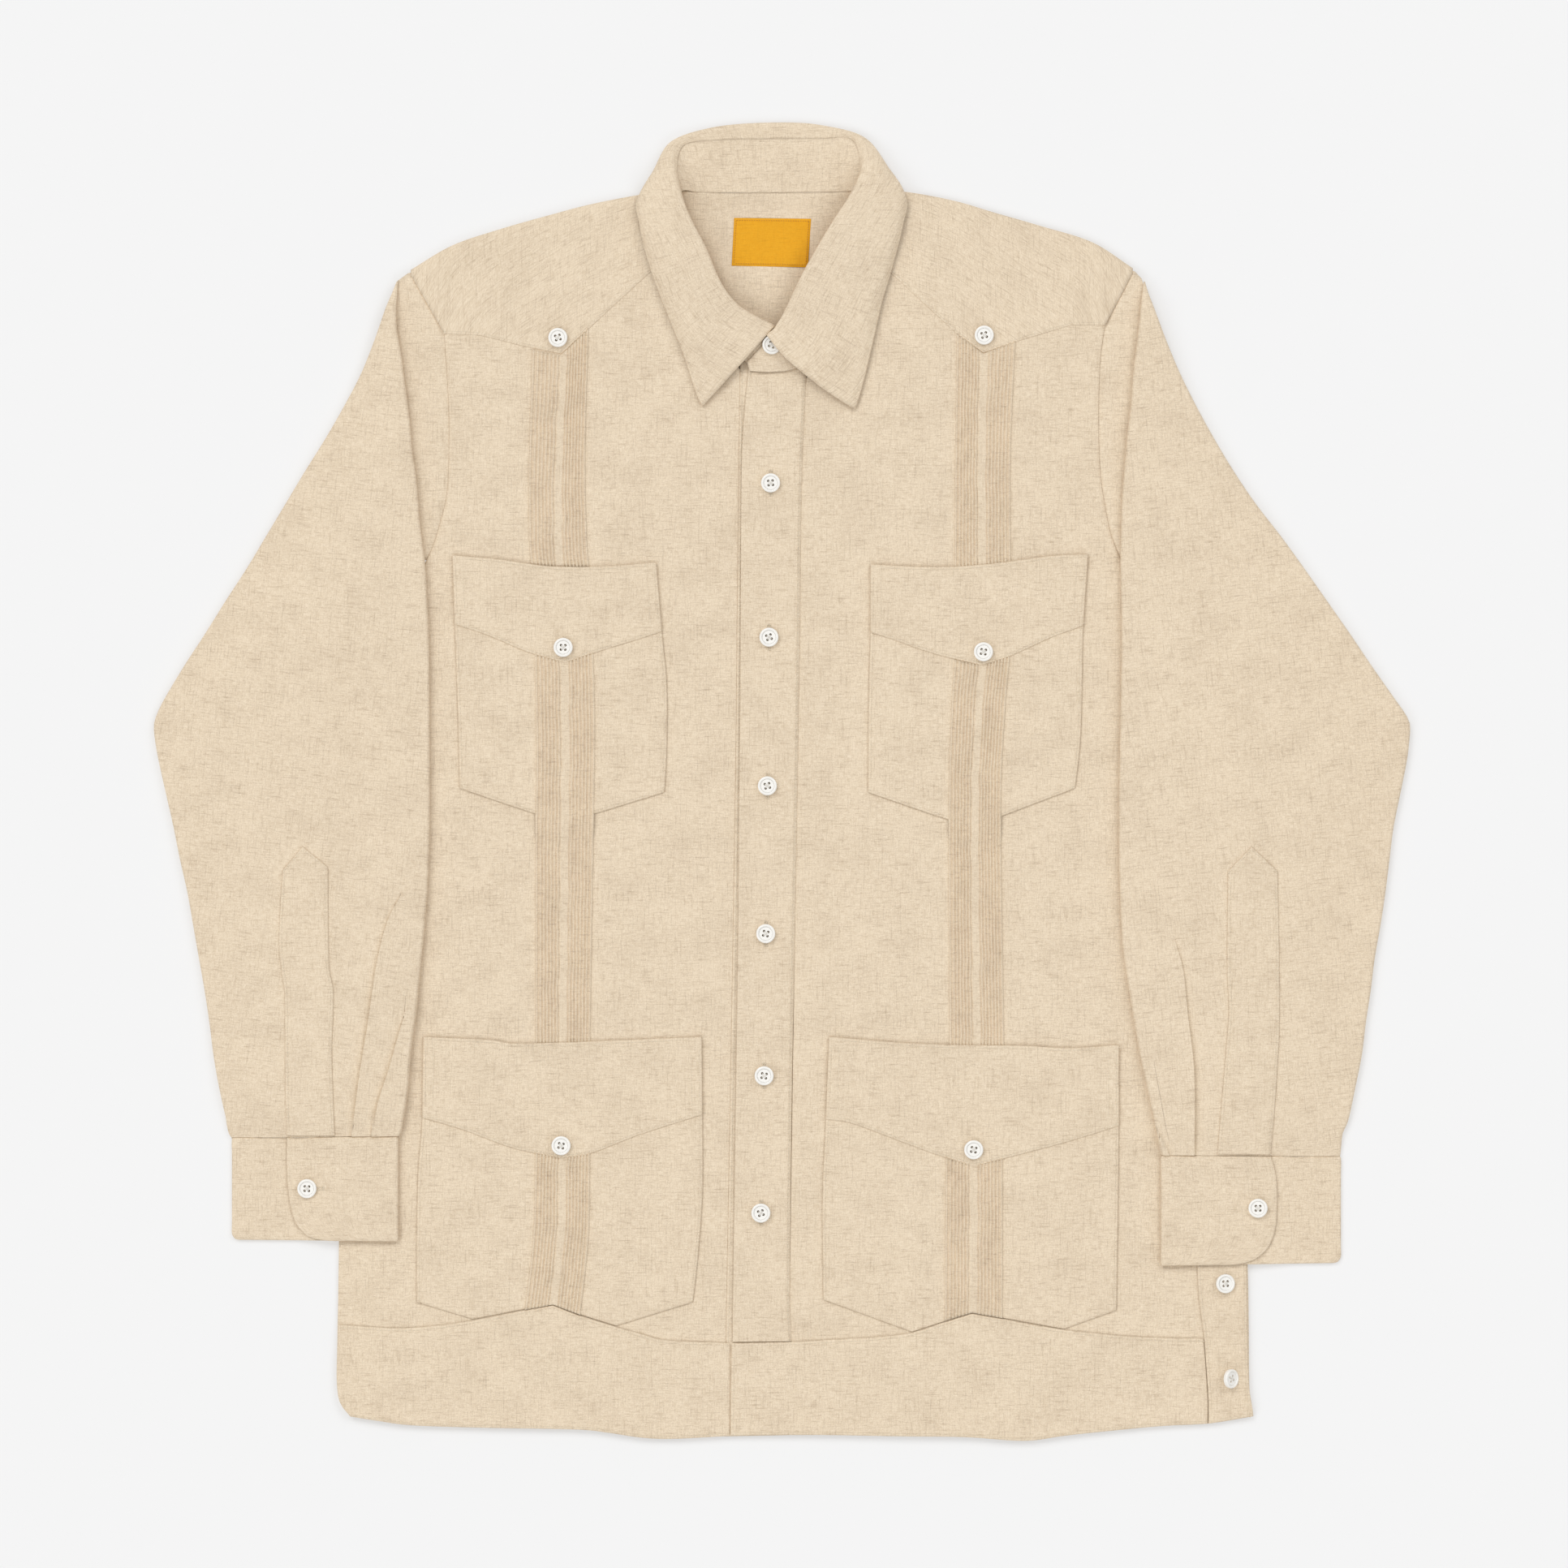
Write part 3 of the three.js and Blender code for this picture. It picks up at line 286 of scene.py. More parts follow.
def laid_piece(name, node, panel, level, stitched="", finished="tblr", coarse=4.0, thick=WALL,
               rest=None, under=None, extra_relief=None, inner=(), grain=0.0):
    """A flat piece lying on what is below, its edges finished and top-stitched."""
    global piece_count
    piece_count += 1
    w, h = panel.size()
    us = spaced(w, coarse, extra=panel.bottom.corners + panel.top.corners)
    vs = spaced(h, coarse, extra=panel.left.corners + panel.right.corners)
    u, v = np.meshgrid(us, vs)
    xy = panel(u, v)
    x, y = xy[..., 0], xy[..., 1]
    base = (lie(x, y) + level) if under is None else under(x, y)
    width = np.linalg.norm(panel(np.ones_like(vs), vs) - panel(np.zeros_like(vs), vs), axis=-1)
    height = np.linalg.norm(panel(us, np.ones_like(us)) - panel(us, np.zeros_like(us)), axis=-1)
    gap = {"l": u * width[:, None], "r": (1 - u) * width[:, None],
           "t": v * height[None, :], "b": (1 - v) * height[None, :]}
    along = {"l": v * h, "r": v * h, "t": u * w, "b": u * w}
    relief = np.zeros_like(x)
    dip = extra_relief(x, y, u, v) if extra_relief is not None else 0
    for k, side in enumerate(finished):
        relief += edge_relief(gap[side], along[side], piece_count * 3.1 + k, side in stitched)
    top = np.stack([x, y, base + thick + relief + dip], -1)
    low = np.stack([x, y, base + dip], -1)
    verts, faces = shell(top, low)
    turn = np.array([[math.cos(grain), math.sin(grain)], [-math.sin(grain), math.cos(grain)]])
    uv = (xy.reshape(-1, 2) @ turn.T) + np.array([piece_count * 137.0, piece_count * 91.0])
    obj = new_object(name, verts, faces, np.vstack([uv, uv]))
    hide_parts(node)
    for side, d in [*((side, STITCH_IN) for side in stitched), *inner]:
        t = np.linspace(0, 1, int((w if side in "tb" else h) / 3) + 2)
        if side in "lr":
            share = d / np.interp(t, vs, width)
            p = panel(share if side == "l" else 1 - share, t)
        else:
            share = d / np.interp(t, us, height)
            p = panel(t, share if side == "t" else 1 - share)
        px, py = p[:, 0], p[:, 1]
        z = (lie(px, py) + level) if under is None else under(px, py)
        top_z = z + thick - 0.02 + (0.2 if d < 8 else 0)
        seams.append(np.stack([px, py, top_z], -1))
    flat_w = float(np.ptp(x)) * MM
    flat_h = float(np.ptp(y)) * MM
    list(rest or ["front_right"])
    min(panel.area() * MM * MM, flat_w * flat_h)
    return obj


seams = []

# ---------------------------------------------------------------- outlines

ARMHOLE_RIGHT = [[-208, 276.5], [-206, 246.5], [-205, 216.5], [-206, 181.5], [-210, 161.5],
                 [-219, 136.5], [-242, 104], [-269, 86.5]]
ARMHOLE_LEFT = [[199, 281.5], [196, 259], [195, 224], [196, 191.5], [199, 170], [204, 148.5],
                [218, 121.5], [246, 99], [273, 86.5]]
SIDE_RIGHT = [[-270, 20], [-272, -130], [-273, -283.5], [-274, -345], [-274.3, -368.5],
              [-272.5, -382], [-266, -391]]
SIDE_LEFT = [[276, 0], [282, -150], [287, -298.5], [288, -372], [290, -387], [290.5, -391]]
HEM_RIGHT = [[-266, -391], [-247, -394], [-227, -396.5], [-182, -398], [-127, -399],
             [-107, -401], [-87, -404], [-67, -404.8], [-36.5, -403.3]]
HEM_LEFT = [[-31.8, -402.8], [6, -402.3], [33, -402.5], [73, -403.2], [113, -403.7],
            [149, -406], [173, -403], [193, -400.8], [233, -397], [262.2, -395.5]]
YOKE_RIGHT = [[-208, 276.1], [-186, 275.1], [-159, 268.4], [-136, 263.6], [-136, 263.6],
              [-117, 281.1], [-84, 311.5], [-66, 326.5]]
YOKE_LEFT = [[52, 326.5], [71, 310], [108, 275.7], [124, 264.2], [124, 264.2], [148, 272.3],
             [178, 281.3], [199, 281.3]]
NECK_RIGHT = [[-62, 312], [-54, 294], [-42, 276], [-26.3, 254]]
NECK_LEFT = [[15.3, 248.5], [30, 268], [42, 290], [49, 312]]
STAND_SEAM = [[-26, 254], [-27.5, 120], [-29, -18.5], [-34, -308.5], [-36.2, -403.3]]
PLACKET_SEAM = [[15, 248.5], [13, 207], [11.6, 150], [11, 81.5], [8, -93.5], [5, -308.5],
                [5.7, -402.5]]

# ---------------------------------------------------------------- back, fronts, placket

whole_side_right = line(*ARMHOLE_RIGHT, ARMHOLE_RIGHT[-1], *SIDE_RIGHT)
whole_side_left = line(*ARMHOLE_LEFT, ARMHOLE_LEFT[-1], *SIDE_LEFT)
back_top = [[-206.6, 258], [196, 258]]
back = Panel(
    line(*back_top),
    line(*HEM_RIGHT, *HEM_LEFT, [290.5, -391]),
    line(back_top[0], *ARMHOLE_RIGHT[1:], ARMHOLE_RIGHT[-1], *SIDE_RIGHT),
    line(back_top[1], *ARMHOLE_LEFT[2:], ARMHOLE_LEFT[-1], *SIDE_LEFT),
)
laid_piece("back_panel", "back", back, 0, finished="b", coarse=8.0, rest=["floor"],
           under=lambda x, y: np.zeros_like(x))

front_right = Panel(
    line(*YOKE_RIGHT, YOKE_RIGHT[-1], *NECK_RIGHT),
    line(*HEM_RIGHT),
    whole_side_right,
    line(*STAND_SEAM),
)
laid_piece("right_front", "front_right", front_right, ON_BACK, finished="l", rest=["back"])
front_left = Panel(
    line(*NECK_LEFT, NECK_LEFT[-1], *YOKE_LEFT),
    line([5.7, -402.5], *HEM_LEFT[2:], [290.5, -391]),
    line(*PLACKET_SEAM),
    whole_side_left,
)
laid_piece("left_front", "front_left", front_left, ON_BACK, finished="r", rest=["back"])
stand_strip = Panel(
    line([-25.7, 260], [-12, 261], [14.4, 258]),
    line([-36.2, -403.3], [5.7, -402.5]),
    line([-25.7, 260], *STAND_SEAM),
    line([14.4, 258], *PLACKET_SEAM),
)
laid_piece("right_button_stand", "button_stand", stand_strip, ON_BACK + 0.15,
           stitched="l", finished="l", rest=["back"],
           extra_relief=lambda x, y, u, v: tuck_under(y, 1.3) - sewn_down(1 - u))
placket = Panel(
    line([-20.6, 257], [-8, 261], [14.6, 263]),
    line([-30.5, -344.9], [6, -344.6]),
    line([-20.6, 257], [-21, 251.5], [-24, 215], [-25, 181.5], [-25.5, 80], [-27, -93.5],
         [-28.5, -200], [-30, -308.5], [-30.5, -344.9]),
    line([14.6, 263], [15, 248], [13, 207], [11.6, 150], [11, 81.5], [8, -93.5],
         [6, -200], [5, -308.5], [6, -344.6]),
)


def placket_rise(x, y, u, v):
    """The placket's free edge stands a little off the front, unevenly."""
    free_edge = (1.15 * np.exp(-u * 5.0) * (1 + 0.45 * noise1(y, 27.0, 1.7))
                 * np.clip((248 - y) / 30, 0, 1) * np.clip((y + 345) / 25, 0.25, 1))
    return tuck_under(y, 1.15) - sewn_down(1 - u) + free_edge


laid_piece("left_placket", "placket", placket, ON_FRONT, stitched="lr", finished="lr",
           rest=["button_stand"], extra_relief=placket_rise)

# ---------------------------------------------------------------- yoke

YOKE = [  # back edge, shoulder fold or neck, front edge
    ([-206.6, 258.3], [-228.6, 315.5], [-208, 276.1]),
    ([-184, 258.3], [-203, 330.5], [-186, 275.1]),
    ([-156, 258.3], [-172, 341], [-159, 268.4]),
    ([-134, 258.3], [-142, 349.5], [-136, 263.6]),
    ([-117, 258.3], [-118, 355.8], [-117, 281.1]),
    ([-84, 258.3], [-90, 361.3], [-84, 311.5]),
    ([-66, 258.3], [-66, 365], [-66, 326.5]),
    ([-40, 258.3], [-40, 362.85], None),
    ([-6, 258.3], [-6, 362.85], None),
    ([28, 258.3], [28, 363.2], None),
    ([52, 258.3], [54, 365.4], [52, 326.5]),
    ([72, 258.3], [80, 363], [71, 310]),
    ([106, 258.3], [107, 357.8], [108, 275.7]),
    ([122, 258.3], [130, 351], [124, 264.2]),
    ([146, 258.3], [160, 342.3], [148, 272.3]),
    ([172, 258.3], [191, 332.5], [178, 281.3]),
    ([196, 258.3], [216, 316.5], [199, 281.3]),
]


BACK_YOKE_ROWS = [0, 0.08, 0.16, 0.25, 0.34, 0.43, 0.52, 0.61, 0.7, 0.78, 0.86, 0.92, 0.945,
                  0.965, 0.985, 0.999]


def make_yoke():
    steps = 9
    count = len(YOKE)
    at = np.arange(0, (count - 1) * steps + 1) / steps
    knots = np.arange(count)

    def column(k, smooth):
        pts = np.array([row[k] or row[1] for row in YOKE], float)
        if not smooth:
            return np.stack([np.interp(at, knots, pts[:, i]) for i in (0, 1)], -1)
        dense = line(*pts.tolist()).dense
        fine = np.linspace(0, count - 1, len(dense))
        return np.stack([np.interp(at, fine, dense[:, i]) for i in (0, 1)], -1)

    low, fold, front = column(0, False), column(1, True), column(2, False)
    has_front = (at <= 6) | (at >= 10)
    fold[:, 1] -= np.where(has_front, WALL / 2, 0)
    rows = []
    neck_row = ~has_front
    for t in BACK_YOKE_ROWS:
        p = low * (1 - t) + fold * t
        rise = np.where(neck_row, 1.3 * np.clip((t - 0.93) / 0.06, 0, 1), 0)
        rows.append(np.column_stack([p, WALL / 2 + rise]))
    radius_y = 3.0
    top_z = ON_BACK + WALL / 2 + lie(fold[:, 0], fold[:, 1] - radius_y)
    for a in np.linspace(0, math.pi, 9):
        y = fold[:, 1] - radius_y * (1 - math.sin(a))
        z = WALL / 2 + (top_z - WALL / 2) * (1 - math.cos(a)) / 2
        back_z = np.full(len(at), WALL / 2)
        rows.append(np.column_stack([fold[:, 0], np.where(has_front, y, fold[:, 1]),
                                     np.where(has_front, z, back_z)]))
    span = np.linalg.norm(front - fold, axis=-1)
    for d in [*np.linspace(0.06, 0.86, 11), 0.91, 0.945, 0.965, 0.978, 0.988, 0.995, 1.0]:
        start = fold - np.array([0, radius_y])
        p = start * (1 - d) + front * d
        left = np.maximum(0, (1 - d) * span)
        lift = 0.55 * np.clip(1 - left / 14, 0, 1) + edge_relief(
            left, np.cumsum(np.full(len(at), 3.2)), 4.4, True)
        z = ON_BACK + WALL / 2 + lie(p[:, 0], p[:, 1]) + lift
        rows.append(np.column_stack([p, z]))
    mid = np.stack(rows)
    n, m = mid.shape[:2]
    keep = np.ones((n - 1, m - 1), bool)
    neck = (at[:-1] >= 6) & (at[:-1] < 10)
    keep[len(BACK_YOKE_ROWS) - 1 :, neck] = False
    du = np.gradient(mid, axis=1)
    dv = np.gradient(mid, axis=0)
    normal = np.cross(dv, du)
    flat = np.linalg.norm(normal, axis=-1, keepdims=True)
    normal = np.where(flat > 1e-6, normal / np.maximum(flat, 1e-9), [0, 0, -1.0])
    inner, outer = mid - normal * WALL / 2, mid + normal * WALL / 2
    verts, faces = shell(inner, outer, keep)
    uv = np.stack([mid[..., 0], run_along(mid)], -1).reshape(-1, 2)
    obj = new_object("yoke_over_shoulders", verts, faces, np.vstack([uv, uv]) + 900)
    faces_out(obj.data)
    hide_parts("yoke")
    for cols in (at <= 6, at >= 10):
        f, e = fold[cols], front[cols]
        s = STITCH_IN / np.linalg.norm(e - f, axis=-1)[:, None]
        p = e * (1 - s) + f * s
        seams.append(np.column_stack([p, ON_BACK + WALL + 0.6 + lie(p[:, 0], p[:, 1])]))


make_yoke()

# ---------------------------------------------------------------- hem bands and vent strip

HEM_TOP_RIGHT = [[-273, -334.5], [-237, -336.5], [-213, -335], [-189, -331.5], [-159, -325.5],
                 [-141, -322.3], [-141, -322.3], [-125, -328.5], [-103, -335.5], [-85, -340.5],
                 [-71, -344], [-32, -345.7]]
HEM_TOP_LEFT = [[-31, -345.8], [5, -345], [33, -343.5], [58, -342], [79, -339.5],
                [101, -332.5], [117, -327.3], [117, -327.3], [135, -330.5], [155, -334.5],
                [174, -337.5], [207, -341], [232, -342.4], [259.6, -343]]
hem_right = Panel(
    line(*HEM_TOP_RIGHT),
    line(*HEM_RIGHT[:-1], [-32.3, -403]),
    line([-273, -334.5], [-274, -355], [-274.3, -368.5], [-272.5, -382], [-266, -391]),
    line([-32, -345.7], [-32.3, -403]),
)
laid_piece("right_hem_band", "hem_right", hem_right, ON_FRONT, stitched="tb", coarse=4.0)
hem_left = Panel(
    line(*HEM_TOP_LEFT),
    line(*HEM_LEFT),
    line([-31, -345.8], [-31.8, -402.8]),
    line([259.6, -343], [260.8, -357.5], [262.2, -380.5], [262.2, -395.5]),
)
laid_piece("left_hem_band", "hem_left", hem_left, ON_FRONT, stitched="tbl",
           rest=["front_left"])
vent = Panel(
    line([255.5, -285], [286, -285]),
    line([262.8, -395.5], [290, -391]),
    line([255.5, -285], [255.8, -299], [257, -319], [260, -342], [261.2, -357.5],
         [262.8, -380.5], [262.8, -395.5]),
    line([286, -285], [286.7, -342], [287.8, -372], [290, -387], [290, -391]),
)
laid_piece("left_vent_strip", "vent_strip", vent, ON_FRONT, stitched="lrb", rest=["front_left"])

# ---------------------------------------------------------------- pockets and flaps

POCKETS = [
    dict(
        name="upper_right",
        top=[[-203, 139.5], [-175, 137], [-145, 133], [-115, 132.5], [-77.5, 135]],
        left=[[-203, 139.5], [-201.5, 97], [-200, 54.5], [-198.5, -4]],
        right=[[-77.5, 135], [-74, 92.5], [-71, 59.5], [-71, 20], [-72.5, -6.5]],
        bottom=[[-198.5, -4], [-152.5, -19.5], [-134, -24.5], [-134, -24.5], [-115, -19.5],
                [-72.5, -6.5]],
        flap=[[-201.5, 97], [-182, 90.5], [-157, 80], [-134, 73], [-134, 73], [-115, 79.5],
              [-86, 88.5], [-74, 92.5]],
    ),
    dict(
        name="upper_left",
        top=[[54.5, 134], [81, 132.5], [106, 132.5], [135, 135], [165, 139], [188.5, 140]],
        left=[[54.5, 134], [54.5, 92], [53.5, 54.5], [53, -6.5]],
        right=[[188.5, 140], [185.5, 96], [184, 30.5], [180.5, -4]],
        bottom=[[53, -6.5], [101.5, -23], [119, -27.5], [119, -27.5], [137, -20.5],
                [180.5, -4]],
        flap=[[54.5, 92], [68.5, 87.5], [93, 79], [123, 71.5], [123, 71.5], [141, 77.5],
              [165, 88.5], [185.5, 96]],
    ),
    dict(
        name="lower_right",
        top=[[-221, -157], [-180, -159], [-167, -161], [-136, -160.5], [-95, -159],
             [-49.5, -157]],
        left=[[-221, -157], [-221.5, -207], [-224, -239.5], [-225, -280.5], [-225, -320.5]],
        right=[[-49.5, -157], [-49, -205], [-49, -253], [-52, -294.5], [-55, -320.5]],
        bottom=[[-225, -320.5], [-190.5, -331], [-190.5, -331], [-159, -324.8], [-141, -321.8],
                [-141, -321.8], [-125, -327.8], [-102, -335], [-102, -335], [-55, -320.5]],
        flap=[[-221.5, -207], [-197.5, -214], [-166, -225.5], [-136, -232], [-136, -232],
              [-118, -229], [-88, -217.5], [-49, -205]],
    ),
    dict(
        name="lower_left",
        top=[[29, -157], [71, -160.5], [106.5, -162], [148.5, -162.5], [176.5, -164],
             [207.5, -162]],
        left=[[29, -157], [27, -208], [25, -256], [25.5, -319]],
        right=[[207.5, -162], [207.5, -212], [207, -256], [206, -325.5]],
        bottom=[[25.5, -319], [80, -338.8], [80, -338.8], [101, -331.9], [117, -326.8],
                [117, -326.8], [135, -330], [174, -337], [174, -337], [206, -325.5]],
        flap=[[27, -208], [42, -210], [64, -218], [92, -228.5], [118, -237], [118, -237],
              [148.5, -229], [176.5, -221.5], [207.5, -212]],
    ),
]
for p in POCKETS:
    right_side = p["name"].endswith("right")
    on = ["front_right" if right_side else "front_left"]
    upper = p["name"].startswith("upper")
    pocket = Panel(line(*p["top"]), line(*p["bottom"]), line(*p["left"]), line(*p["right"]))
    laid_piece("pocket_bag_" + p["name"], "pocket_" + p["name"], pocket, ON_FRONT,
               stitched="lrb" if upper else "lr", coarse=4.0, rest=on)
    flap = Panel(line(*p["top"]), line(*p["flap"]), line(p["left"][0], p["left"][1]),
                 line(p["right"][0], p["right"][1]))
    laid_piece("pocket_flap_" + p["name"], "flap_" + p["name"], flap, ON_POCKET - 0.5,
               stitched="tblr", coarse=3.5, rest=["pocket_" + p["name"]],
               inner=[("l", 6.5), ("r", 6.5)])

# ---------------------------------------------------------------- pin-tucked strips

TUCK_PITCH = 2.1
TUCK_HEIGHT = 1.15
STRIP_WIDTH = 35.5


def tuck_height(d):
    """Ridges across a strip, d from its left border: one tuck near each edge, then six."""
    z = np.zeros_like(d)
    for side in (0, 1):
        e = d if side == 0 else STRIP_WIDTH - d
        for c in [0.9, *(3.3 + TUCK_PITCH * np.arange(6))]:
            s = (e - c) if side == 0 else (c - e)
            ridge = np.clip(1 - (s / np.where(s < 0, 0.55, 0.8)) ** 2, 0, 1)
            z = np.maximum(z, ridge**0.5)
    off = np.abs(d - STRIP_WIDTH / 2)
    flat = 0.62 * np.clip((2.9 - off) / 0.5, 0, 1) - 0.12 * np.exp(-((off / 0.35) ** 2))
    return TUCK_HEIGHT * np.maximum(z, flat)


STRIPS = [
    ("upper_right", ON_FRONT, ["front_right"],
     [[-154, 266.3], [-136, 262.8], [-136, 262.8], [-119, 279.2]],
     [[-154, 266.3], [-156, 202.5], [-156, 151.5], [-154.5, 131.8]],
     [[-119, 279.2], [-121, 202.5], [-120, 151.5], [-118.5, 131.2]]),
    ("upper_left", ON_FRONT, ["front_left"],
     [[107.5, 276.4], [124, 263.6], [124, 263.6], [144, 271.2]],
     [[107.5, 276.4], [106.5, 202.5], [106, 131.2]],
     [[144, 271.2], [141, 202.5], [141, 134.3]]),
    ("middle_right", None, ["pocket_upper_right", "front_right"],
     [[-152.5, 79], [-134, 73.4], [-134, 73.4], [-116, 79.8]],
     [[-152.5, 79], [-151.5, 18], [-152, -37.5], [-152, -162]],
     [[-116, 79.8], [-115, 30.5], [-116, -37.5], [-118, -162]]),
    ("middle_left", None, ["pocket_upper_left", "front_left"],
     [[106, 75.2], [123, 71.8], [123, 71.8], [140.5, 77.8]],
     [[106, 75.2], [104, 42.5], [102.5, -18], [103, -164]],
     [[140.5, 77.8], [137.5, 42.5], [135, -18], [137, -164]]),
    ("lower_right", ON_POCKET, ["pocket_lower_right"],
     [[-152, -228], [-136, -231.4], [-136, -231.4], [-118, -228.4]],
     [[-152, -228], [-153.5, -280.5], [-158.5, -325.2]],
     [[-118, -228.4], [-119, -280.5], [-124, -328.4]]),
    ("lower_left", ON_POCKET, ["pocket_lower_left"],
     [[100.5, -231.2], [118, -236.4], [118, -236.4], [136, -232]],
     [[100.5, -231.2], [100, -332]],
     [[136, -232], [136, -330.4]]),
]


def strip_level(y):
    """Middle strips run over the pocket, then come down on the front."""
    t = np.clip((y + 40) / 14, 0, 1)
    return ON_FRONT - 0.6 + PLY * t * t * (3 - 2 * t)


for k, (name, level, on, top, left, right) in enumerate(STRIPS):
    ends = line(left[-1], right[-1])
    if name == "lower_right":
        ends = line(left[-1], [-141, -322], [-141, -322], right[-1])
    if name == "lower_left":
        ends = line(left[-1], [117, -327], [117, -327], right[-1])
    strip = Panel(line(*top), ends, line(*left), line(*right))
    h = strip.size()[1]
    us = np.linspace(0, 1, 155)
    vs = spaced(h, 3.0, fine=False)
    u, v = np.meshgrid(us, vs)
    xy = strip(u, v)
    x, y = xy[..., 0], xy[..., 1]
    wander = 0.42 * noise1(v * h, 7.0, k + 1.0) + 0.22 * noise1(v * h, 3.3, k + 5 + u * 5)
    crush = 0.92 + 0.16 * noise1(v * h, 4.3, 2 * k + u * 37) + 0.1 * noise1(v * h, 2.0, u * 80)
    d = np.clip(u * STRIP_WIDTH + wander * np.sin(np.pi * u), 0, STRIP_WIDTH)
    base = lie(x, y) + (level - 0.6 if level else strip_level(y))
    z = base + 0.3 + tuck_height(d) * np.clip(crush, 0.3, 1.2)
    z -= 0.35 * np.clip(1 - np.minimum(u, 1 - u) * STRIP_WIDTH / 0.5, 0, 1)
    verts, faces = shell(np.stack([x, y, z], -1), np.stack([x, y, base], -1))
    uv = xy.reshape(-1, 2) * [1.7, 1.0] + 500 + 60 * k
    obj = new_object("pin_tucks_" + name, verts, faces, np.vstack([uv, uv]))
    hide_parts("strip_" + name)
    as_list(on)

# ---------------------------------------------------------------- sleeves

SLEEVES = {
    "right": dict(
        sign=-1,
        cuff_y=-218.4,
        lap_end=304.5,
        outer=[[308.5, 237.2], [300, 240.6], [291.5, 244.2], [271.5, 251.2], [251.5, 259.3],
               [231.5, 269.8], [211.5, 281.3], [191.5, 293.8], [171.5, 305.8], [151.5, 317.8],
               [131.5, 329.8], [111.5, 342.8], [91.5, 355.3], [71.5, 368.3], [51.5, 380.3],
               [42, 385], [35, 387], [25.5, 386.3], [11.5, 383.8], [-8.5, 379.3],
               [-28.5, 374.8], [-48.5, 370.8], [-68.5, 366.3], [-88.5, 362.8], [-108.5, 359.3],
               [-128.5, 355.8], [-148.5, 352.8], [-168.5, 350.3], [-188.5, 346.8],
               [-208.5, 342.3], [-218.3, 339]],
        inner=[[308.5, 236.6], [300, 237], [291, 237.4], [280, 237.2], [264.5, 234.6],
               [246.5, 232.2], [224, 229.3], [202, 227.3], [186.5, 225], [158.5, 222.7],
               [134.5, 219.7], [108, 218.2], [81.5, 217.2], [0, 216.8], [-20.5, 216.8],
               [-58.5, 217.8], [-87, 219.8], [-111.5, 222.2], [-140, 224.8], [-165.5, 228.2],
               [-191, 230.3], [-209.5, 233.5], [-218.3, 236.2]],
        edge=[[310, 244], [246, 241], [181, 239], [136, 246], [104, 262], [86, 271],
              [-130, 273.5], [-283, 274.5], [-400, 275]],
        seam=[[-229.4, 314], [-219.6, 297], [-208.9, 276.3], [-206.2, 246.5],
              [-205.3, 216.5], [-206.3, 181.5], [-210.3, 161.5], [-219.3, 136.5]],
        hidden=[[-237, 308.5], [-241, 292], [-243, 272], [-242, 246], [-240, 216],
                [-238, 181], [-237, 160], [-237, 139]],
        grain=-0.1,
    ),
    "left": dict(
        sign=1,
        cuff_y=-230.4,
        lap_end=301.5,
        outer=[[308.5, 223.4], [300, 226], [291.5, 229.3], [271.5, 236.8], [251.5, 245.3],
               [231.5, 255.3], [211.5, 266.3], [191.5, 278.3], [171.5, 291.8], [151.5, 307.3],
               [131.5, 321.8], [111.5, 335.8], [91.5, 349.8], [71.5, 363.3], [51.5, 377.3],
               [42, 384], [35, 387], [22.5, 386.3], [11.5, 384.8], [-8.5, 380.8],
               [-28.5, 376.8], [-48.5, 374.3], [-68.5, 371.8], [-88.5, 368.8], [-108.5, 365.3],
               [-128.5, 362.8], [-148.5, 359.8], [-168.5, 357.3], [-188.5, 353.3],
               [-208.5, 349], [-217.5, 345.3], [-230, 343.8]],
        inner=[[308.5, 222.8], [295, 221.2], [281.5, 219.8], [267, 218.1], [252, 216.3],
               [232, 214.8], [215.5, 212.8], [192.5, 210.8], [174, 209.3], [153.5, 208.8],
               [137, 208.3], [120.3, 208.6], [81.5, 209], [-28.5, 207.3], [-87.5, 208.8],
               [-110, 210.8], [-135.5, 214.8], [-168, 220.3], [-189, 224.8], [-214, 230.3],
               [-230, 233.8]],
        edge=[[310, 232], [259, 231], [191, 230], [148, 234], [121, 248], [99, 264],
              [86, 275], [0, 279], [-150, 285], [-298, 290], [-400, 292]],
        seam=[[216.8, 315], [209.9, 302], [199.5, 281], [196.5, 259], [195.3, 224],
              [196.3, 191.5], [199.3, 170], [204.3, 148.5], [214.5, 126]],
        hidden=[[221.5, 310], [226, 295], [229, 281], [231, 259], [229, 224], [226, 191],
                [225, 170], [227, 150], [238, 127]],
        grain=0.1,
    ),
}
# Pleats set into the cuffs: path from tip to cuff as (across, y), height, side that lies on top
PLEATS = {
    "right": [([[229, -63], [236.5, -73], [244, -89], [250, -114.5], [255, -149],
                [260.5, -183.5], [265, -219]], 2.5),
              ([[225, -128.5], [233, -145.5], [241.5, -175], [248.5, -197], [253, -219]], 2.2)],
    "left": [([[241, -94], [247, -116], [250, -144.5], [253, -168], [254, -189],
               [254, -231]], 2.5),
             ([[219, -168], [225.5, -198], [230, -212.5], [239, -231]], 2.2)],
}


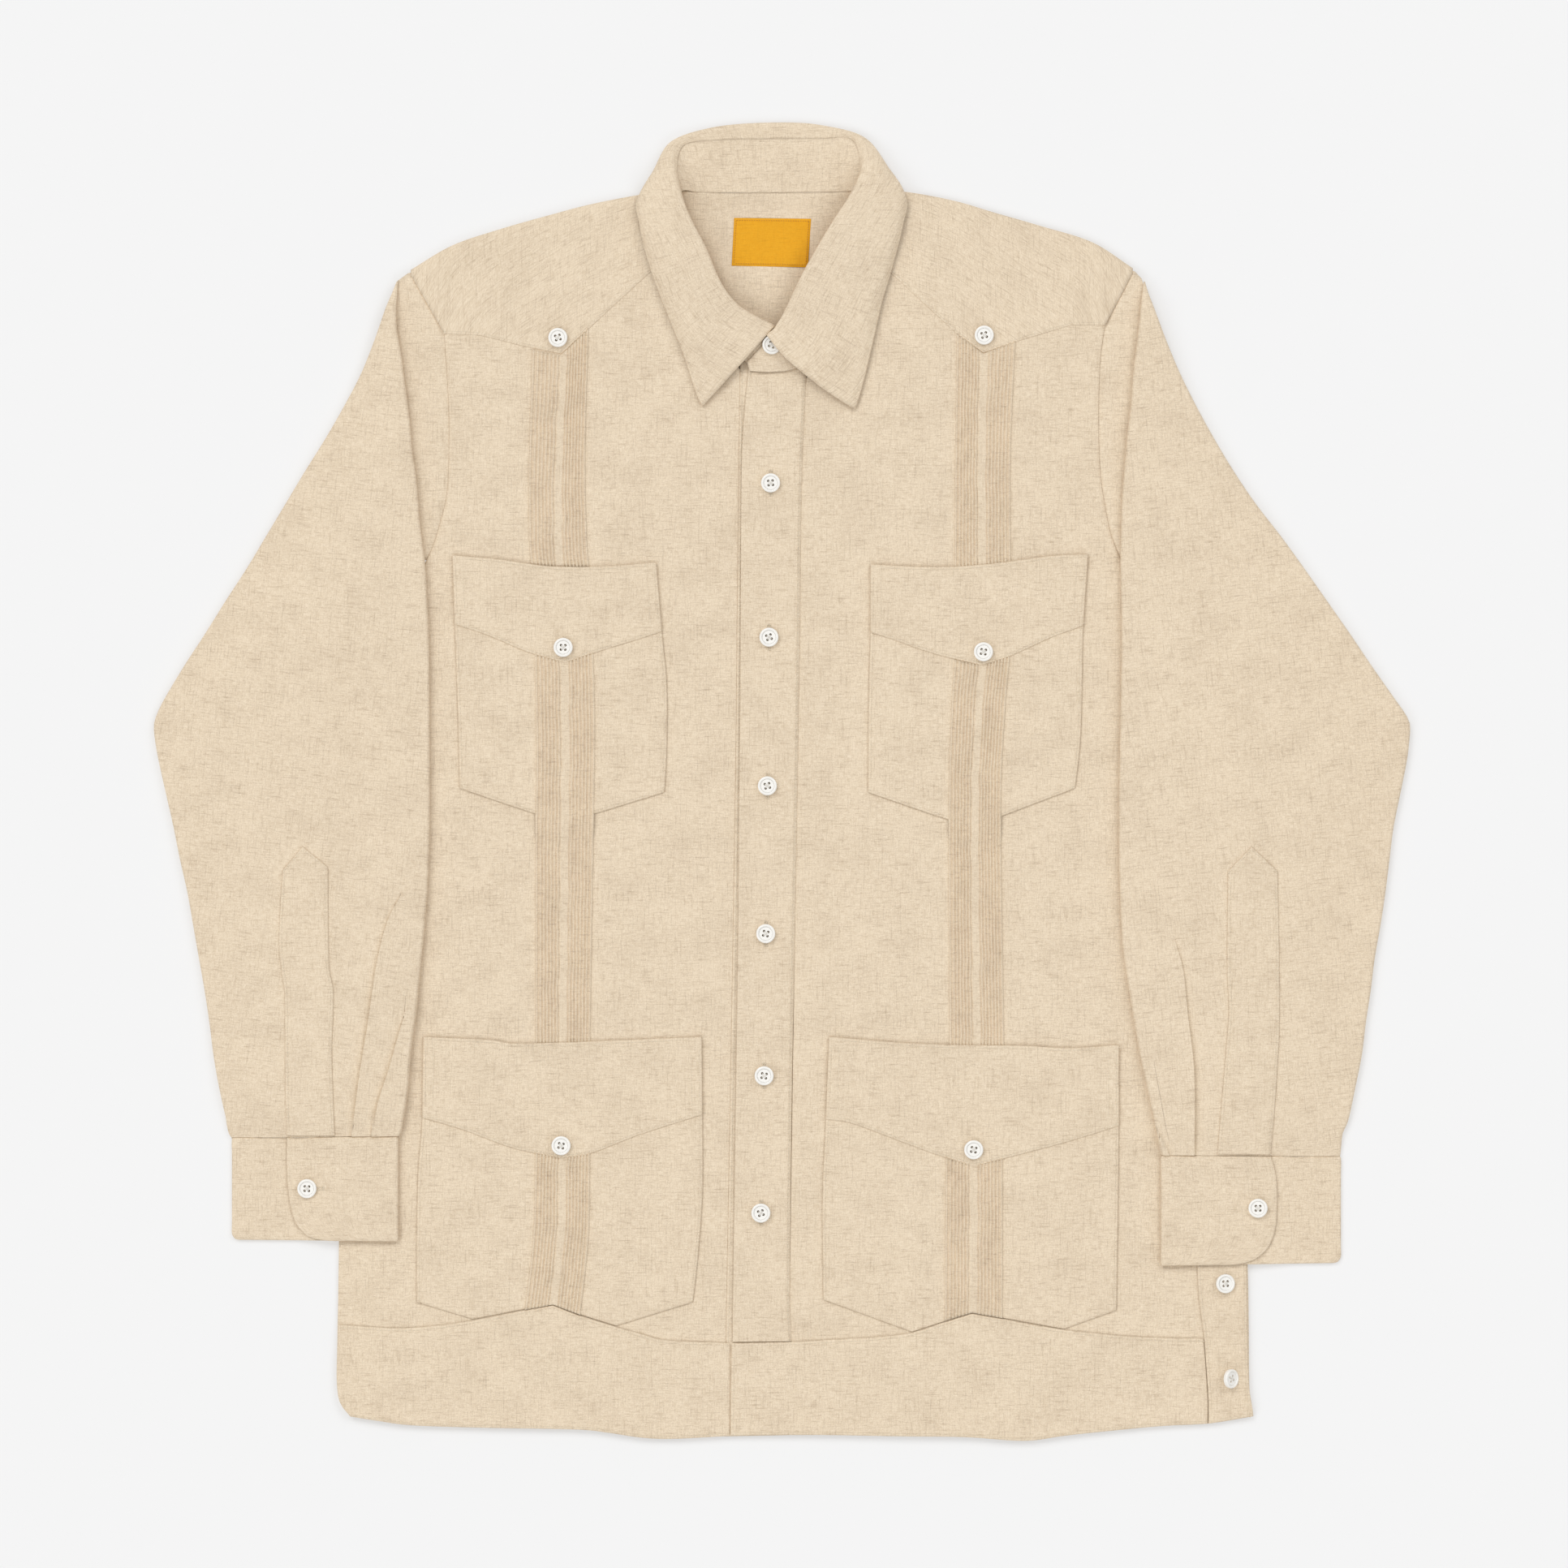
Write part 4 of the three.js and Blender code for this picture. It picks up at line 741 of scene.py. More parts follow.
CUFFS = {
    "right": dict(
        inner=236.2, outer=339, lap=285, top=(-218.4, -219.4), bottom=(-283, -282.2),
        end=[(0, 304.8), (0.2, 305.2), (0.4, 304.8), (0.6, 303.6), (0.72, 302), (0.82, 300),
             (0.9, 296.5), (0.955, 292.5), (0.985, 287), (1, 280)],
    ),
    "left": dict(
        inner=233.2, outer=344.5, lap=283, top=(-230.1, -231), bottom=(-298, -296.5),
        end=[(0, 301), (0.1, 303.2), (0.2, 304.6), (0.4, 305), (0.6, 304.6), (0.72, 303.2),
             (0.82, 300.5), (0.9, 296.5), (0.955, 291), (0.985, 285), (1, 279)],
    ),
}


def read(rows, y):
    """A value off a [y, value] table in falling y, smoothly."""
    dense = line(*rows).dense[::-1]
    return np.interp(y, dense[:, 0], dense[:, 1])


def sleeve_under(s, across, y):
    """What a sleeve lies on: the body, then down to the table past the body's edge."""
    edge = np.array(s["edge"])[::-1]
    beyond = across - np.interp(y, edge[:, 0], edge[:, 1]) - 1
    t = np.clip(1 - beyond / STEP_DOWN, 0, 1)
    return (ON_FRONT + lie(across * s["sign"], y)) * t


def sleeve_top(s, across, y):
    """A sleeve's upper face, pressed flat where it goes into the cuff."""
    outer, inner = read(s["outer"], y), read(s["inner"], y)
    t = np.clip((across - inner) / np.maximum(outer - inner, 0.5), 0, 1)
    low = sleeve_under(s, inner, y) * (1 - t) + sleeve_under(s, outer, y) * t
    full = np.clip((outer - inner) / 60, 0, 1)
    wave = ripple(across * s["sign"] * 0.8, y, 2.0 + s["sign"]) * 1.5 * np.sin(np.pi * t)
    height = FOLD * np.clip((outer - inner) / 8, 0.25, 1) + (
        PUFF * np.sin(np.pi * t) + wave) * full
    near_cuff = np.clip((y - s["cuff_y"]) / 26, 0, 1) ** 0.7
    step = np.clip((s["lap_end"] - across) / 2.5, 0, 1)
    pressed = np.minimum(height, 2.05 + 1.5 * step)
    return low + pressed + (height - pressed) * near_cuff


def pleat_line(points, y):
    """Where a pleat's fold is at y, held at its tip above that."""
    path = line(*points).dense
    order = np.argsort(path[:, 1])
    return np.interp(y, path[order, 1], path[order, 0])


def pleat_relief(side, across, y):
    """A pleat steps up at its fold and dies away towards the inner fold of the sleeve."""
    total = np.zeros_like(across)
    for points, height in PLEATS[side]:
        top_y, low_y = points[0][1], points[-1][1]
        grow = np.clip((top_y - y) / (top_y - low_y), 0, 1) ** 0.45
        near_cuff = 1 - 0.45 * np.clip((low_y + 16 - y) / 16, 0, 1)
        s = pleat_line(points, y) - across
        step = np.clip((s + 0.05) / 0.1, 0, 1) * np.exp(-np.maximum(s, 0) / 15)
        dip = -0.6 * np.exp(-np.maximum(-s, 0) / 2.2) * (s < 0)
        total += height * grow * near_cuff * step + grow * dip
    return total


FOLD_COLUMNS = (21, 43)  # the columns just below each pleat's fold, which run back under it


def make_sleeve(side):
    s = SLEEVES[side]
    sign = s["sign"]
    last = min(p[0] for p in s["outer"])
    ys = np.concatenate([np.arange(308, -40, -4.0), np.arange(-40, last + 3, -2.6),
                         last + np.array([1.6, 0.9, 0.4, 0, -0.7])])
    outer, inner = read(s["outer"], ys), read(s["inner"], ys)
    width = outer - inner
    near = np.array([0, 0.12, 0.4, 0.8, 1.3, 1.8, 2.6, 4, 6]) / 160
    close = np.array([-1.4, -0.7, -0.3, -0.1, 0.1, 0.3, 0.7, 1.4])
    folds = []
    for points, _ in PLEATS[side][::-1]:
        at_y = np.minimum(ys, points[0][1])
        share = (pleat_line(points, at_y) - read(s["inner"], at_y)) / (
            read(s["outer"], at_y) - read(s["inner"], at_y))
        folds.append(np.clip(share, 0.06, 0.9))
    folds[1] = np.maximum(folds[1], folds[0] + 0.05)
    rows = []
    for k, w in enumerate(np.maximum(width, 20)):
        f0, f1 = folds[0][k], folds[1][k]
        rows.append(np.concatenate([
            near[:-1], np.linspace(near[-1], f0 - 2 / w, 9), f0 + close / w,
            np.linspace(f0 + 2 / w, f1 - 2 / w, 14), f1 + close / w,
            np.linspace(f1 + 2 / w, 1 - near[-1], 88), 1 - near[:-1][::-1]]))
    share = np.sort(np.clip(np.array(rows), 0, 1), axis=1)
    e = np.minimum(1.8, width / 2)
    up = inner[:, None] + width[:, None] * share
    d = np.minimum(up - inner[:, None], outer[:, None] - up)
    round_ = np.sqrt(np.clip(1 - (1 - np.clip(d / e[:, None], 0, 1)) ** 2, 0, 1))
    cuff = CUFFS[side]
    seam_y = cuff["top"][0] + (cuff["top"][1] - cuff["top"][0]) * (up - cuff["inner"]) / (
        cuff["outer"] - cuff["inner"]) + 0.12
    t = np.clip((ys[:, None] - last) / 12, 0, 1)
    yy = seam_y * (1 - t) + ys[:, None] * t + np.minimum(ys[:, None] - last, 0)
    tucked = np.clip((last + 0.9 - ys[:, None]) / 0.9, 0, 1)
    lo, hi = sleeve_under(s, up, yy), sleeve_top(s, up, yy)
    middle, half = (lo + hi) / 2, (hi - lo) / 2
    top_z = middle + half * round_ + pleat_relief(side, up, yy) * round_ * (1 - 0.6 * tucked)
    top_z -= 0.7 * tucked
    low_z = np.maximum(middle - half * round_ + 0.5 * tucked, 0.02)
    top_z = np.maximum(top_z, low_z)
    for first, (points, _) in zip(FOLD_COLUMNS, PLEATS[side][::-1]):
        grow = np.clip((points[0][1] - ys) / (points[0][1] - points[-1][1]), 0, 1) ** 0.45
        grow *= np.clip((ys - last - 7) / 9, 0, 1) * np.clip((up[:, first] - inner - 4) / 4, 0, 1)
        up[:, first] -= 1.5 * grow
        up[:, first + 1] -= 0.9 * grow
    pick = np.unique(np.concatenate([np.arange(0, 9), np.arange(9, up.shape[1] - 9, 8),
                                     np.arange(up.shape[1] - 9, up.shape[1])]))[1:-1]
    ring_a = np.concatenate([up, up[:, pick][:, ::-1]], 1)
    ring_z = np.concatenate([top_z, low_z[:, pick][:, ::-1]], 1)
    ring_y = np.concatenate([yy, yy[:, pick][:, ::-1]], 1)
    n, m = ring_a.shape
    verts = np.stack([sign * ring_a, ring_y, ring_z], -1)
    turn = s["grain"]
    flat = np.stack([verts[..., 0], verts[..., 1]], -1)
    g = np.stack([flat[..., 0] * math.cos(turn) + flat[..., 1] * math.sin(turn),
                  -flat[..., 0] * math.sin(turn) + flat[..., 1] * math.cos(turn)], -1)
    i, j = np.meshgrid(np.arange(n - 1), np.arange(m), indexing="ij")
    a, b = (i * m + j).ravel(), (i * m + (j + 1) % m).ravel()
    faces = np.stack([a, a + m, b + m, b], -1)
    if sign < 0:
        faces = faces[:, ::-1]
    verts = verts.reshape(-1, 3)
    tube = new_object("sleeve_tube_" + side, verts, faces, g.reshape(-1, 2) + 300 * sign)
    deselect()
    bpy.context.view_layer.objects.active = tube
    wall = tube.modifiers.new("wall", "SOLIDIFY")
    wall.thickness = 0.8 * MM
    wall.offset = -1
    wall.thickness_clamp = 1.0
    bpy.ops.object.modifier_apply(modifier="wall")
    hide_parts("sleeve_" + side)

    hidden, seam = line(*s["hidden"]), line(*s["seam"])
    left, right = (hidden, seam) if sign < 0 else (seam, hidden)
    head = Panel(line(left(0).tolist(), right(0).tolist()),
                 line(left(1).tolist(), right(1).tolist()), left, right)
    us, vs = spaced(30, 2.0), spaced(180, 4.0, fine=False)
    u, v = np.meshgrid(us, vs)
    xy = head(u, v)
    x, y = xy[..., 0], xy[..., 1]
    from_seam = (1 - u) if sign < 0 else u
    slip = 2.0 * np.clip(1 - from_seam / 0.12, 0, 1)
    x = x - sign * slip
    base = ON_BACK + lie(x, y) - 0.15 - 1.0 * np.clip((slip - 0.1) / 1.3, 0, 1)
    z = base + WALL + 0.12 * noise1(v * 180, 3.1, 2) * np.exp(-from_seam * 30 / 5)
    verts, faces = shell(np.stack([x, y, z], -1), np.stack([x, y, base], -1))
    uv = xy.reshape(-1, 2) + 1700 * sign
    obj = new_object("sleeve_head_" + side, verts, faces, np.vstack([uv, uv]))


for side in SLEEVES:
    make_sleeve(side)

SLEEVE_PLACKETS = {
    "right": dict(
        top=[[-307.3, -54.5], [-295, -40], [-295, -40], [-279.5, -52.5]],
        left=[[-307.3, -54.5], [-309.5, -97.5], [-307.5, -120], [-306, -132],
              [-305.7, -183.5], [-305, -217.9]],
        right=[[-279.5, -52.5], [-278.8, -111], [-276, -130], [-277, -166], [-276, -199],
               [-275.3, -217.9]],
    ),
    "left": dict(
        top=[[274.5, -55], [289, -40], [289, -40], [305, -55]],
        left=[[274.5, -55], [274, -114], [275, -141], [272, -180], [268, -229.4]],
        right=[[305, -55], [306, -110], [306, -153.5], [304, -189], [301, -229.4]],
    ),
}
for side, p in SLEEVE_PLACKETS.items():
    s = SLEEVES[side]
    bottom = line(p["left"][-1], p["right"][-1])
    gauntlet = Panel(line(*p["top"]), bottom, line(*p["left"]), line(*p["right"]))
    laid_piece("sleeve_slit_placket_" + side, "sleeve_placket_" + side, gauntlet, 0,
               stitched="tlr", finished="tlr", coarse=3.5, rest=["sleeve_tube_" + side],
               under=lambda x, y, s=s, side=side: sleeve_top(s, np.abs(x), y) + 0.1
               + pleat_relief(side, np.abs(x), y))

# ---------------------------------------------------------------- cuffs


def cuff_level(s, a, y, ply):
    """Middle of a cuff's layer, ply layers up from what it lies on."""
    return sleeve_under(s, a, y) + ply * (PLY - 0.05) + WALL / 2


def turn_over(path, edge, reach, z1, y_of, steps):
    """Carries a cuff's line round an edge to the level z1."""
    z0 = path[-1][2]
    for q in np.linspace(0, math.pi, steps)[1:-1]:
        a = edge + reach * math.sin(q)
        path.append((a, y_of(a), (z0 + z1) / 2 + (z0 - z1) / 2 * math.cos(q)))


def make_cuff(side, c):
    """A band once round the wrist, its rounded end lapped on top."""
    s = SLEEVES[side]
    sign = s["sign"]
    rows = spaced(CUFF_DEPTH, 3.0)
    ends = np.interp(rows, [e[0] for e in c["end"]], [e[1] for e in c["end"]])
    lines = []
    for f, end in zip(rows, ends):
        near, far = c["inner"] + 1.6, c["outer"] - 1.2
        far -= 4.5 * (1 - math.sqrt(1 - np.clip((f - 0.92) / 0.08, 0, 1) ** 2))
        over = end - np.array([0, 0.4, 0.9, 1.4, 1.8, 2.3, 3.2, 5, 8])
        over = np.concatenate([over, np.linspace(over[-1] - 3, near, 16)])

        def y_of(a):
            y_inner, y_outer = (c["top"][k] * (1 - f) + c["bottom"][k] * f for k in (0, 1))
            return (y_inner * (c["outer"] - a) + y_outer * (a - c["inner"])) / (
                c["outer"] - c["inner"])

        rise = 0.22 * noise1(over, 17.0, sign + 3.0) + 0.1 * noise1(
            over * 0 + f * CUFF_DEPTH, 9.0, 2.0)
        path = [(a, y_of(a), cuff_level(s, a, y_of(a), 2) + 0.35 + r)
                for a, r in zip(over, rise)]
        turn_over(path, near, -1.15, cuff_level(s, near, y_of(near), 0), y_of, 8)
        path += [(a, y_of(a), cuff_level(s, a, y_of(a), 0)) for a in np.linspace(near, far, 24)]
        turn_over(path, far, 0.75, cuff_level(s, far, y_of(far), 1), y_of, 6)
        path += [(a, y_of(a), cuff_level(s, a, y_of(a), 1))
                 for a in np.linspace(far, c["lap"], 14)]
        lines.append([(sign * a, y, z) for a, y, z in path])
    mid = np.array(lines)
    n, m = mid.shape[:2]
    normal = np.cross(np.gradient(mid, axis=1), np.gradient(mid, axis=0))
    normal /= np.linalg.norm(normal, axis=-1, keepdims=True)
    if normal[n // 2, 5, 2] < 0:
        normal = -normal
    lapped = len(over)
    relief = np.where(np.arange(m)[None, :] < lapped,
                      edge_relief(np.abs(np.abs(mid[..., 0]) - ends[:, None]),
                                  rows[:, None] * CUFF_DEPTH, 2.0, True), 0)
    for share in (rows, 1 - rows):
        relief += edge_relief(share[:, None] * CUFF_DEPTH, mid[..., 0], 5.0, True)
    outer_face, inner_face = both_faces(mid, normal, WALL, relief[..., None])
    verts, faces = shell(outer_face, inner_face)
    uv = np.stack(np.broadcast_arrays(run_along(mid[0])[None, :], rows[:, None] * CUFF_DEPTH),
                  -1).reshape(-1, 2)
    obj = new_object("cuff_band_" + side, verts, faces, np.vstack([uv, uv]) + 2600)
    faces_out(obj.data)
    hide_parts("cuff_" + side)
    sunk = [0, 0, -0.05]
    for from_top in (STITCH_IN, CUFF_DEPTH - STITCH_IN):
        row = np.argmin(np.abs(rows * CUFF_DEPTH - from_top))
        seams.append(outer_face[row, 4:lapped] + sunk)
        seams.append(outer_face[row, -13:-5] + sunk)
    seams.append(outer_face[3:-3, 4] + sunk)


for side, cuff in CUFFS.items():
    make_cuff(side, cuff)

# ---------------------------------------------------------------- collar

COLLAR = [  # stand's neck edge and upper edge, then the leaf: crown, turn, fall, outer edge
    ([9, 254.5, 5.1], [7, 277.5, 5.3], None, None, None, None),
    ([-6, 254, 5.1], [-5, 277.5, 5.9], [-5, 279.5, 9.7], [-16, 267.3, 10.2],
     [-34, 247.3, 8.1], [-49, 231, 5.8]),
    ([-20, 257.5, 5.1], [-14, 282, 7.3], [-14, 284, 10.6], [-27, 271, 10.8], [-43, 255, 8.6],
     [-53.5, 241, 5.8]),
    ([-40, 273, 5.1], [-28, 292, 9.3], [-29, 293.5, 12], [-42, 285, 12], [-54, 273, 10.3],
     [-61, 264, 6]),
    ([-54, 293, 5.1], [-38.5, 306, 11.2], [-39.5, 307.5, 14], [-53, 301, 14], [-65, 294, 11.2],
     [-72.5, 293, 6.2]),
    ([-63, 317, 5.1], [-47, 326, 12.5], [-48, 327.5, 15.2], [-62, 323, 15], [-75, 319, 11.6],
     [-82, 319, 6.4]),
    ([-68, 341, 5.2], [-56, 344, 12.5], [-57, 345, 15.3], [-70, 343, 14.6], [-83, 342, 11],
     [-87.7, 343, 6.6]),
    ([-69.5, 356, 5.6], [-62, 361, 11], [-64, 361.5, 13.8], [-76, 362, 12.8], [-86, 361, 9.5],
     [-88.5, 359, 6]),
    ([-61.5, 364, 3.8], [-65, 378, 6.5], [-68, 379, 9], [-76, 377.5, 7.5], [-79, 375, 3.6],
     [-72, 370.5, 1.2]),
    ([-52, 363.2, 1.8], [-60, 392.5, 3], [-65.5, 394, 4.2], [-68.5, 393.5, 2.4],
     [-65, 391, 0.9], [-56, 367, 0.6]),
    ([-34, 363, 1.8], [-38, 395.8, 2.2], [-41, 401.2, 3], [-42, 402.6, 1.8], [-40, 399, 0.6],
     [-35, 365, 0.5]),
    ([-6, 363, 1.8], [-6, 396.5, 2.2], [-6, 403.5, 3], [-6, 405.3, 1.8], [-6, 401.5, 0.6],
     [-6, 365, 0.5]),
    ([22, 363.3, 1.8], [24, 396.7, 2.2], [24, 402.4, 3], [24.5, 403.8, 1.8], [24, 400, 0.6],
     [23, 365.3, 0.5]),
    ([40, 363.5, 1.8], [43, 396, 3], [47.5, 396.8, 4.2], [50.5, 396.3, 2.4], [47, 392, 0.9],
     [42, 367, 0.6]),
    ([49, 364, 3.4], [49, 378, 6.5], [51.5, 381, 9], [61, 381.5, 7.5], [64.5, 378, 3.6],
     [60, 371, 1.2]),
    ([55, 357, 5.2], [42.5, 361, 11], [44, 361.5, 13.8], [59, 363, 12.8], [73, 363, 9.5],
     [76, 359, 6]),
    ([54, 341, 5.2], [31, 342, 12.5], [32, 343, 15.3], [47, 343, 14.6], [68, 343, 11],
     [74.5, 343, 6.6]),
    ([49, 317, 5.1], [21, 324.5, 12.5], [22, 326, 15.2], [38, 322, 15], [61, 319, 11.6],
     [68.5, 319, 6.4]),
    ([41, 293, 5.1], [11.5, 307, 11.5], [12.5, 308.5, 14], [30, 302, 14], [52.5, 295, 11.2],
     [61.3, 294, 6.4]),
    ([28, 272, 5.6], [3.5, 290, 10.5], [4.5, 291.5, 13], [20, 285, 13], [43.5, 272, 10.6],
     [54.7, 265, 6.6]),
    ([10, 255.5, 6.4], [-3, 277, 8.6], [-2.8, 279, 12], [11, 270, 12.2], [34, 251, 10],
     [49.3, 243, 6.6]),
    ([-6, 252.3, 6.4], [-8, 273, 7], [-8.7, 273.8, 11.6], [2, 260.8, 12], [24, 242.8, 9.4],
     [45, 229, 6.4]),
    ([-20, 253, 6.4], [-21.5, 258.5, 6.4], None, None, None, None),
]


def smooth_rows(stations, per=8):
    """Points of each column of a table, carried smoothly from station to station."""
    cols = []
    for k in range(len(stations[0])):
        pts = [list(r[k]) for r in stations]
        q = np.array([2 * np.array(pts[0]) - pts[1], *pts, 2 * np.array(pts[-1]) - pts[-2]])
        out = []
        for i in range(1, len(q) - 2):
            out += [curve_point(*q[i - 1 : i + 3], s) for s in np.arange(per) / per]
        out.append(q[-2])
        cols.append(np.array(out))
    return np.stack(cols)


def thick_strip(name, node, mid, thick, relief, uv_shift):
    """A piece of the collar about its middle surface; returns its outer face."""
    normal = np.cross(np.gradient(mid, axis=1), np.gradient(mid, axis=0))
    normal /= np.maximum(np.linalg.norm(normal, axis=-1, keepdims=True), 1e-9)
    outer_face, inner_face = both_faces(mid, normal, thick, relief)
    verts, faces = shell(outer_face, inner_face)
    along = run_along(mid[0])
    uv = np.stack(np.broadcast_arrays(along[None, :], run_along(mid)), -1).reshape(-1, 2)
    obj = new_object(name, verts, faces, np.vstack([uv, uv]) + uv_shift)
    faces_out(obj.data)
    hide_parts(node)
    return outer_face


def make_collar():
    stand = smooth_rows([(r[0], r[1]) for r in COLLAR])
    t = np.array([0, 0.03, 0.06, 0.1, 0.2, 0.35, 0.5, 0.65, 0.8, 0.9, 1])[:, None, None]
    mid = stand[0][None] * (1 - t) + stand[1][None] * t
    bow = np.sin(np.pi * t[..., 0]) * 0.6
    mid[..., 2] += bow * np.clip((mid[..., 2] - 3) / 6, 0, 1)
    face = thick_strip("collar_band", "collar_stand", mid, 1.0, 0.0, 3300)
    seams.append(face[2, 2:-2] + [0, 0, -0.1])

    rows = [r for r in COLLAR if r[2] is not None]
    leaf = smooth_rows([r[1:] for r in rows])
    start = leaf[0] + (leaf[1] - leaf[0]) * (
        -0.5 / np.maximum(np.linalg.norm(leaf[1] - leaf[0], axis=-1, keepdims=True), 1e-6))
    control = np.stack([start, leaf[1], leaf[2], leaf[3], leaf[4]])
    q = np.concatenate([2 * control[:1] - control[1:2], control,
                        2 * control[-1:] - control[-2:-1]])
    out = []
    steps = [np.linspace(0, 1, 6)[:-1], np.linspace(0, 1, 8)[:-1], np.linspace(0, 1, 9)[:-1],
             np.array([0, 0.15, 0.3, 0.45, 0.58, 0.69, 0.77, 0.83, 0.87, 0.9, 0.93, 0.96, 0.98,
                       1.0])]
    for i, ss in zip(range(1, 5), steps):
        out += [curve_point(*q[i - 1 : i + 3], s) for s in ss]
    mid = np.stack(out)
    n, m = mid.shape[:2]
    back_down = np.linalg.norm(mid - mid[-1:], axis=-1)
    ends = np.minimum(np.linalg.norm(mid - mid[:, :1], axis=-1),
                      np.linalg.norm(mid - mid[:, -1:], axis=-1))
    along = np.arange(m)[None, :] * 2.5 + np.zeros((n, 1))
    relief = edge_relief(back_down, along, 6.0, True) + edge_relief(ends, back_down, 8.0, True)
    face = thick_strip("collar_fall", "collar_leaf", mid, 1.2, relief[..., None], 4100)
    k = int(np.argmin(np.abs(back_down[:, m // 8] - STITCH_IN)))
    seams.append(face[k, 1:-1])
    for col in (0, -1):
        inset = face[12:, col]
        step = face[12:, 1 if col == 0 else -2] - inset
        step /= np.maximum(np.linalg.norm(step, axis=-1, keepdims=True), 1e-6)
        seams.append(inset + step * STITCH_IN)


make_collar()

# ---------------------------------------------------------------- neck label


def label_under(x, y):
    return 1.15 + 0.25 * np.sin(x / 9) * np.sin(y / 7)


label = Panel(
    line([-29.5, 347.5], [18, 347]),
    line([-31, 318], [16, 317]),
    line([-29.5, 347.5], [-31, 318]),
    line([18, 347], [16, 317]),
)
laid_piece("neck_label", "label", label, 0, coarse=3.0, thick=0.55,
           under=label_under, rest=["yoke_over_shoulders"])

# ---------------------------------------------------------------- buttons


def model_button():
    """A four-hole shirt button: raised rounded rim, dished middle, four holes for the thread."""
    deselect()
    bpy.ops.mesh.primitive_cylinder_add(vertices=48, radius=5.9, depth=2.2)
    body = bpy.context.object
    bpy.ops.object.mode_set(mode="EDIT")
    bpy.ops.mesh.select_mode(type="FACE")
    bpy.ops.mesh.select_all(action="DESELECT")
    bm = bmesh.from_edit_mesh(body.data)
    for f in bm.faces:
        f.select_set(f.normal.z > 0.9)
    bmesh.update_edit_mesh(body.data)
    bpy.ops.mesh.inset(thickness=0.8, depth=0.45)
    bpy.ops.mesh.inset(thickness=0.55, depth=-0.15)
    bpy.ops.mesh.inset(thickness=0.4, depth=-0.8)
    bpy.ops.mesh.delete(type="FACE")
    bm = bmesh.from_edit_mesh(body.data)
    for f in bm.faces:
        f.select_set(f.normal.z < -0.9 and len(f.verts) > 10)
    bmesh.update_edit_mesh(body.data)
    bpy.ops.mesh.inset(thickness=1.85, depth=0)
    bpy.ops.mesh.delete(type="FACE")
    bpy.ops.mesh.select_all(action="SELECT")
    bpy.ops.mesh.normals_make_consistent(inside=False)
    bpy.ops.object.mode_set(mode="OBJECT")

    curve = bpy.data.curves.new("disc", "CURVE")
    curve.dimensions = "2D"
    curve.fill_mode = "BOTH"
    curve.extrude = 0.6
    holes = [(1.3 * i, 1.3 * j, 0.82, 14) for i in (-1, 1) for j in (-1, 1)]
    for cx, cy, r, count in [(0, 0, 4.1, 48), *holes]:
        spline = curve.splines.new("POLY")
        spline.points.add(count - 1)
        for k in range(count):
            a = 2 * math.pi * k / count
            spline.points[k].co = (cx + r * math.cos(a), cy + r * math.sin(a), 0, 1)
        spline.use_cyclic_u = True
    disc = bpy.data.objects.new("disc", curve)
    scene.collection.objects.link(disc)
    deselect()
    disc.select_set(True)
    bpy.context.view_layer.objects.active = disc
    bpy.ops.object.convert(target="MESH")
    disc = bpy.context.object
    disc.data.transform(Matrix.Translation((0, 0, 0.08)))
    deselect()
    disc.select_set(True)
    body.select_set(True)
    bpy.context.view_layer.objects.active = body
    bpy.ops.object.join()
    bevel = body.modifiers.new("soft_edges", "BEVEL")
    bevel.width = 0.28
    bevel.segments = 3
    bevel.limit_method = "ANGLE"
    bevel.angle_limit = math.radians(28)
    bpy.ops.object.modifier_apply(modifier="soft_edges")
    bpy.ops.object.shade_smooth_by_angle(angle=math.radians(35))
    return body


def model_thread():
    """Two crossed passes of thread, down into the holes at both ends."""
    verts, faces = [], []
    ring, steps = 7, 11
    for turn in (-1, 1):
        for off in (-0.18, 0.18):
            first = len(verts)
            for i in range(steps):
                t = 2 * i / (steps - 1) - 1
                along = 1.82 * t
                z = 0.80 + 0.12 * (1 - t * t) - 1.1 * max(0, abs(t) - 0.8) * 5 * 0.6
                for k in range(ring):
                    a = 2 * math.pi * k / ring
                    x, y = along, off + 0.16 * math.cos(a)
                    c = math.cos(turn * math.pi / 4)
                    s_ = math.sin(turn * math.pi / 4)
                    verts.append((x * c - y * s_, x * s_ + y * c,
                                  z + 0.16 * math.sin(a) + 0.06 * turn))
            for i in range(steps - 1):
                for k in range(ring):
                    a, b = first + i * ring + k, first + i * ring + (k + 1) % ring
                    faces.append((a, b, b + ring, a + ring))
            faces.append(tuple(first + k for k in range(ring))[::-1])
            faces.append(tuple(first + (steps - 1) * ring + k for k in range(ring)))
    mesh = bpy.data.meshes.new("button_thread")
    mesh.from_pydata(verts, [], faces)
    thread = bpy.data.objects.new("button_thread", mesh)
    scene.collection.objects.link(thread)
    faces_out(mesh)
    deselect()
    thread.select_set(True)
    bpy.context.view_layer.objects.active = thread
    bpy.ops.object.shade_smooth()
    return thread


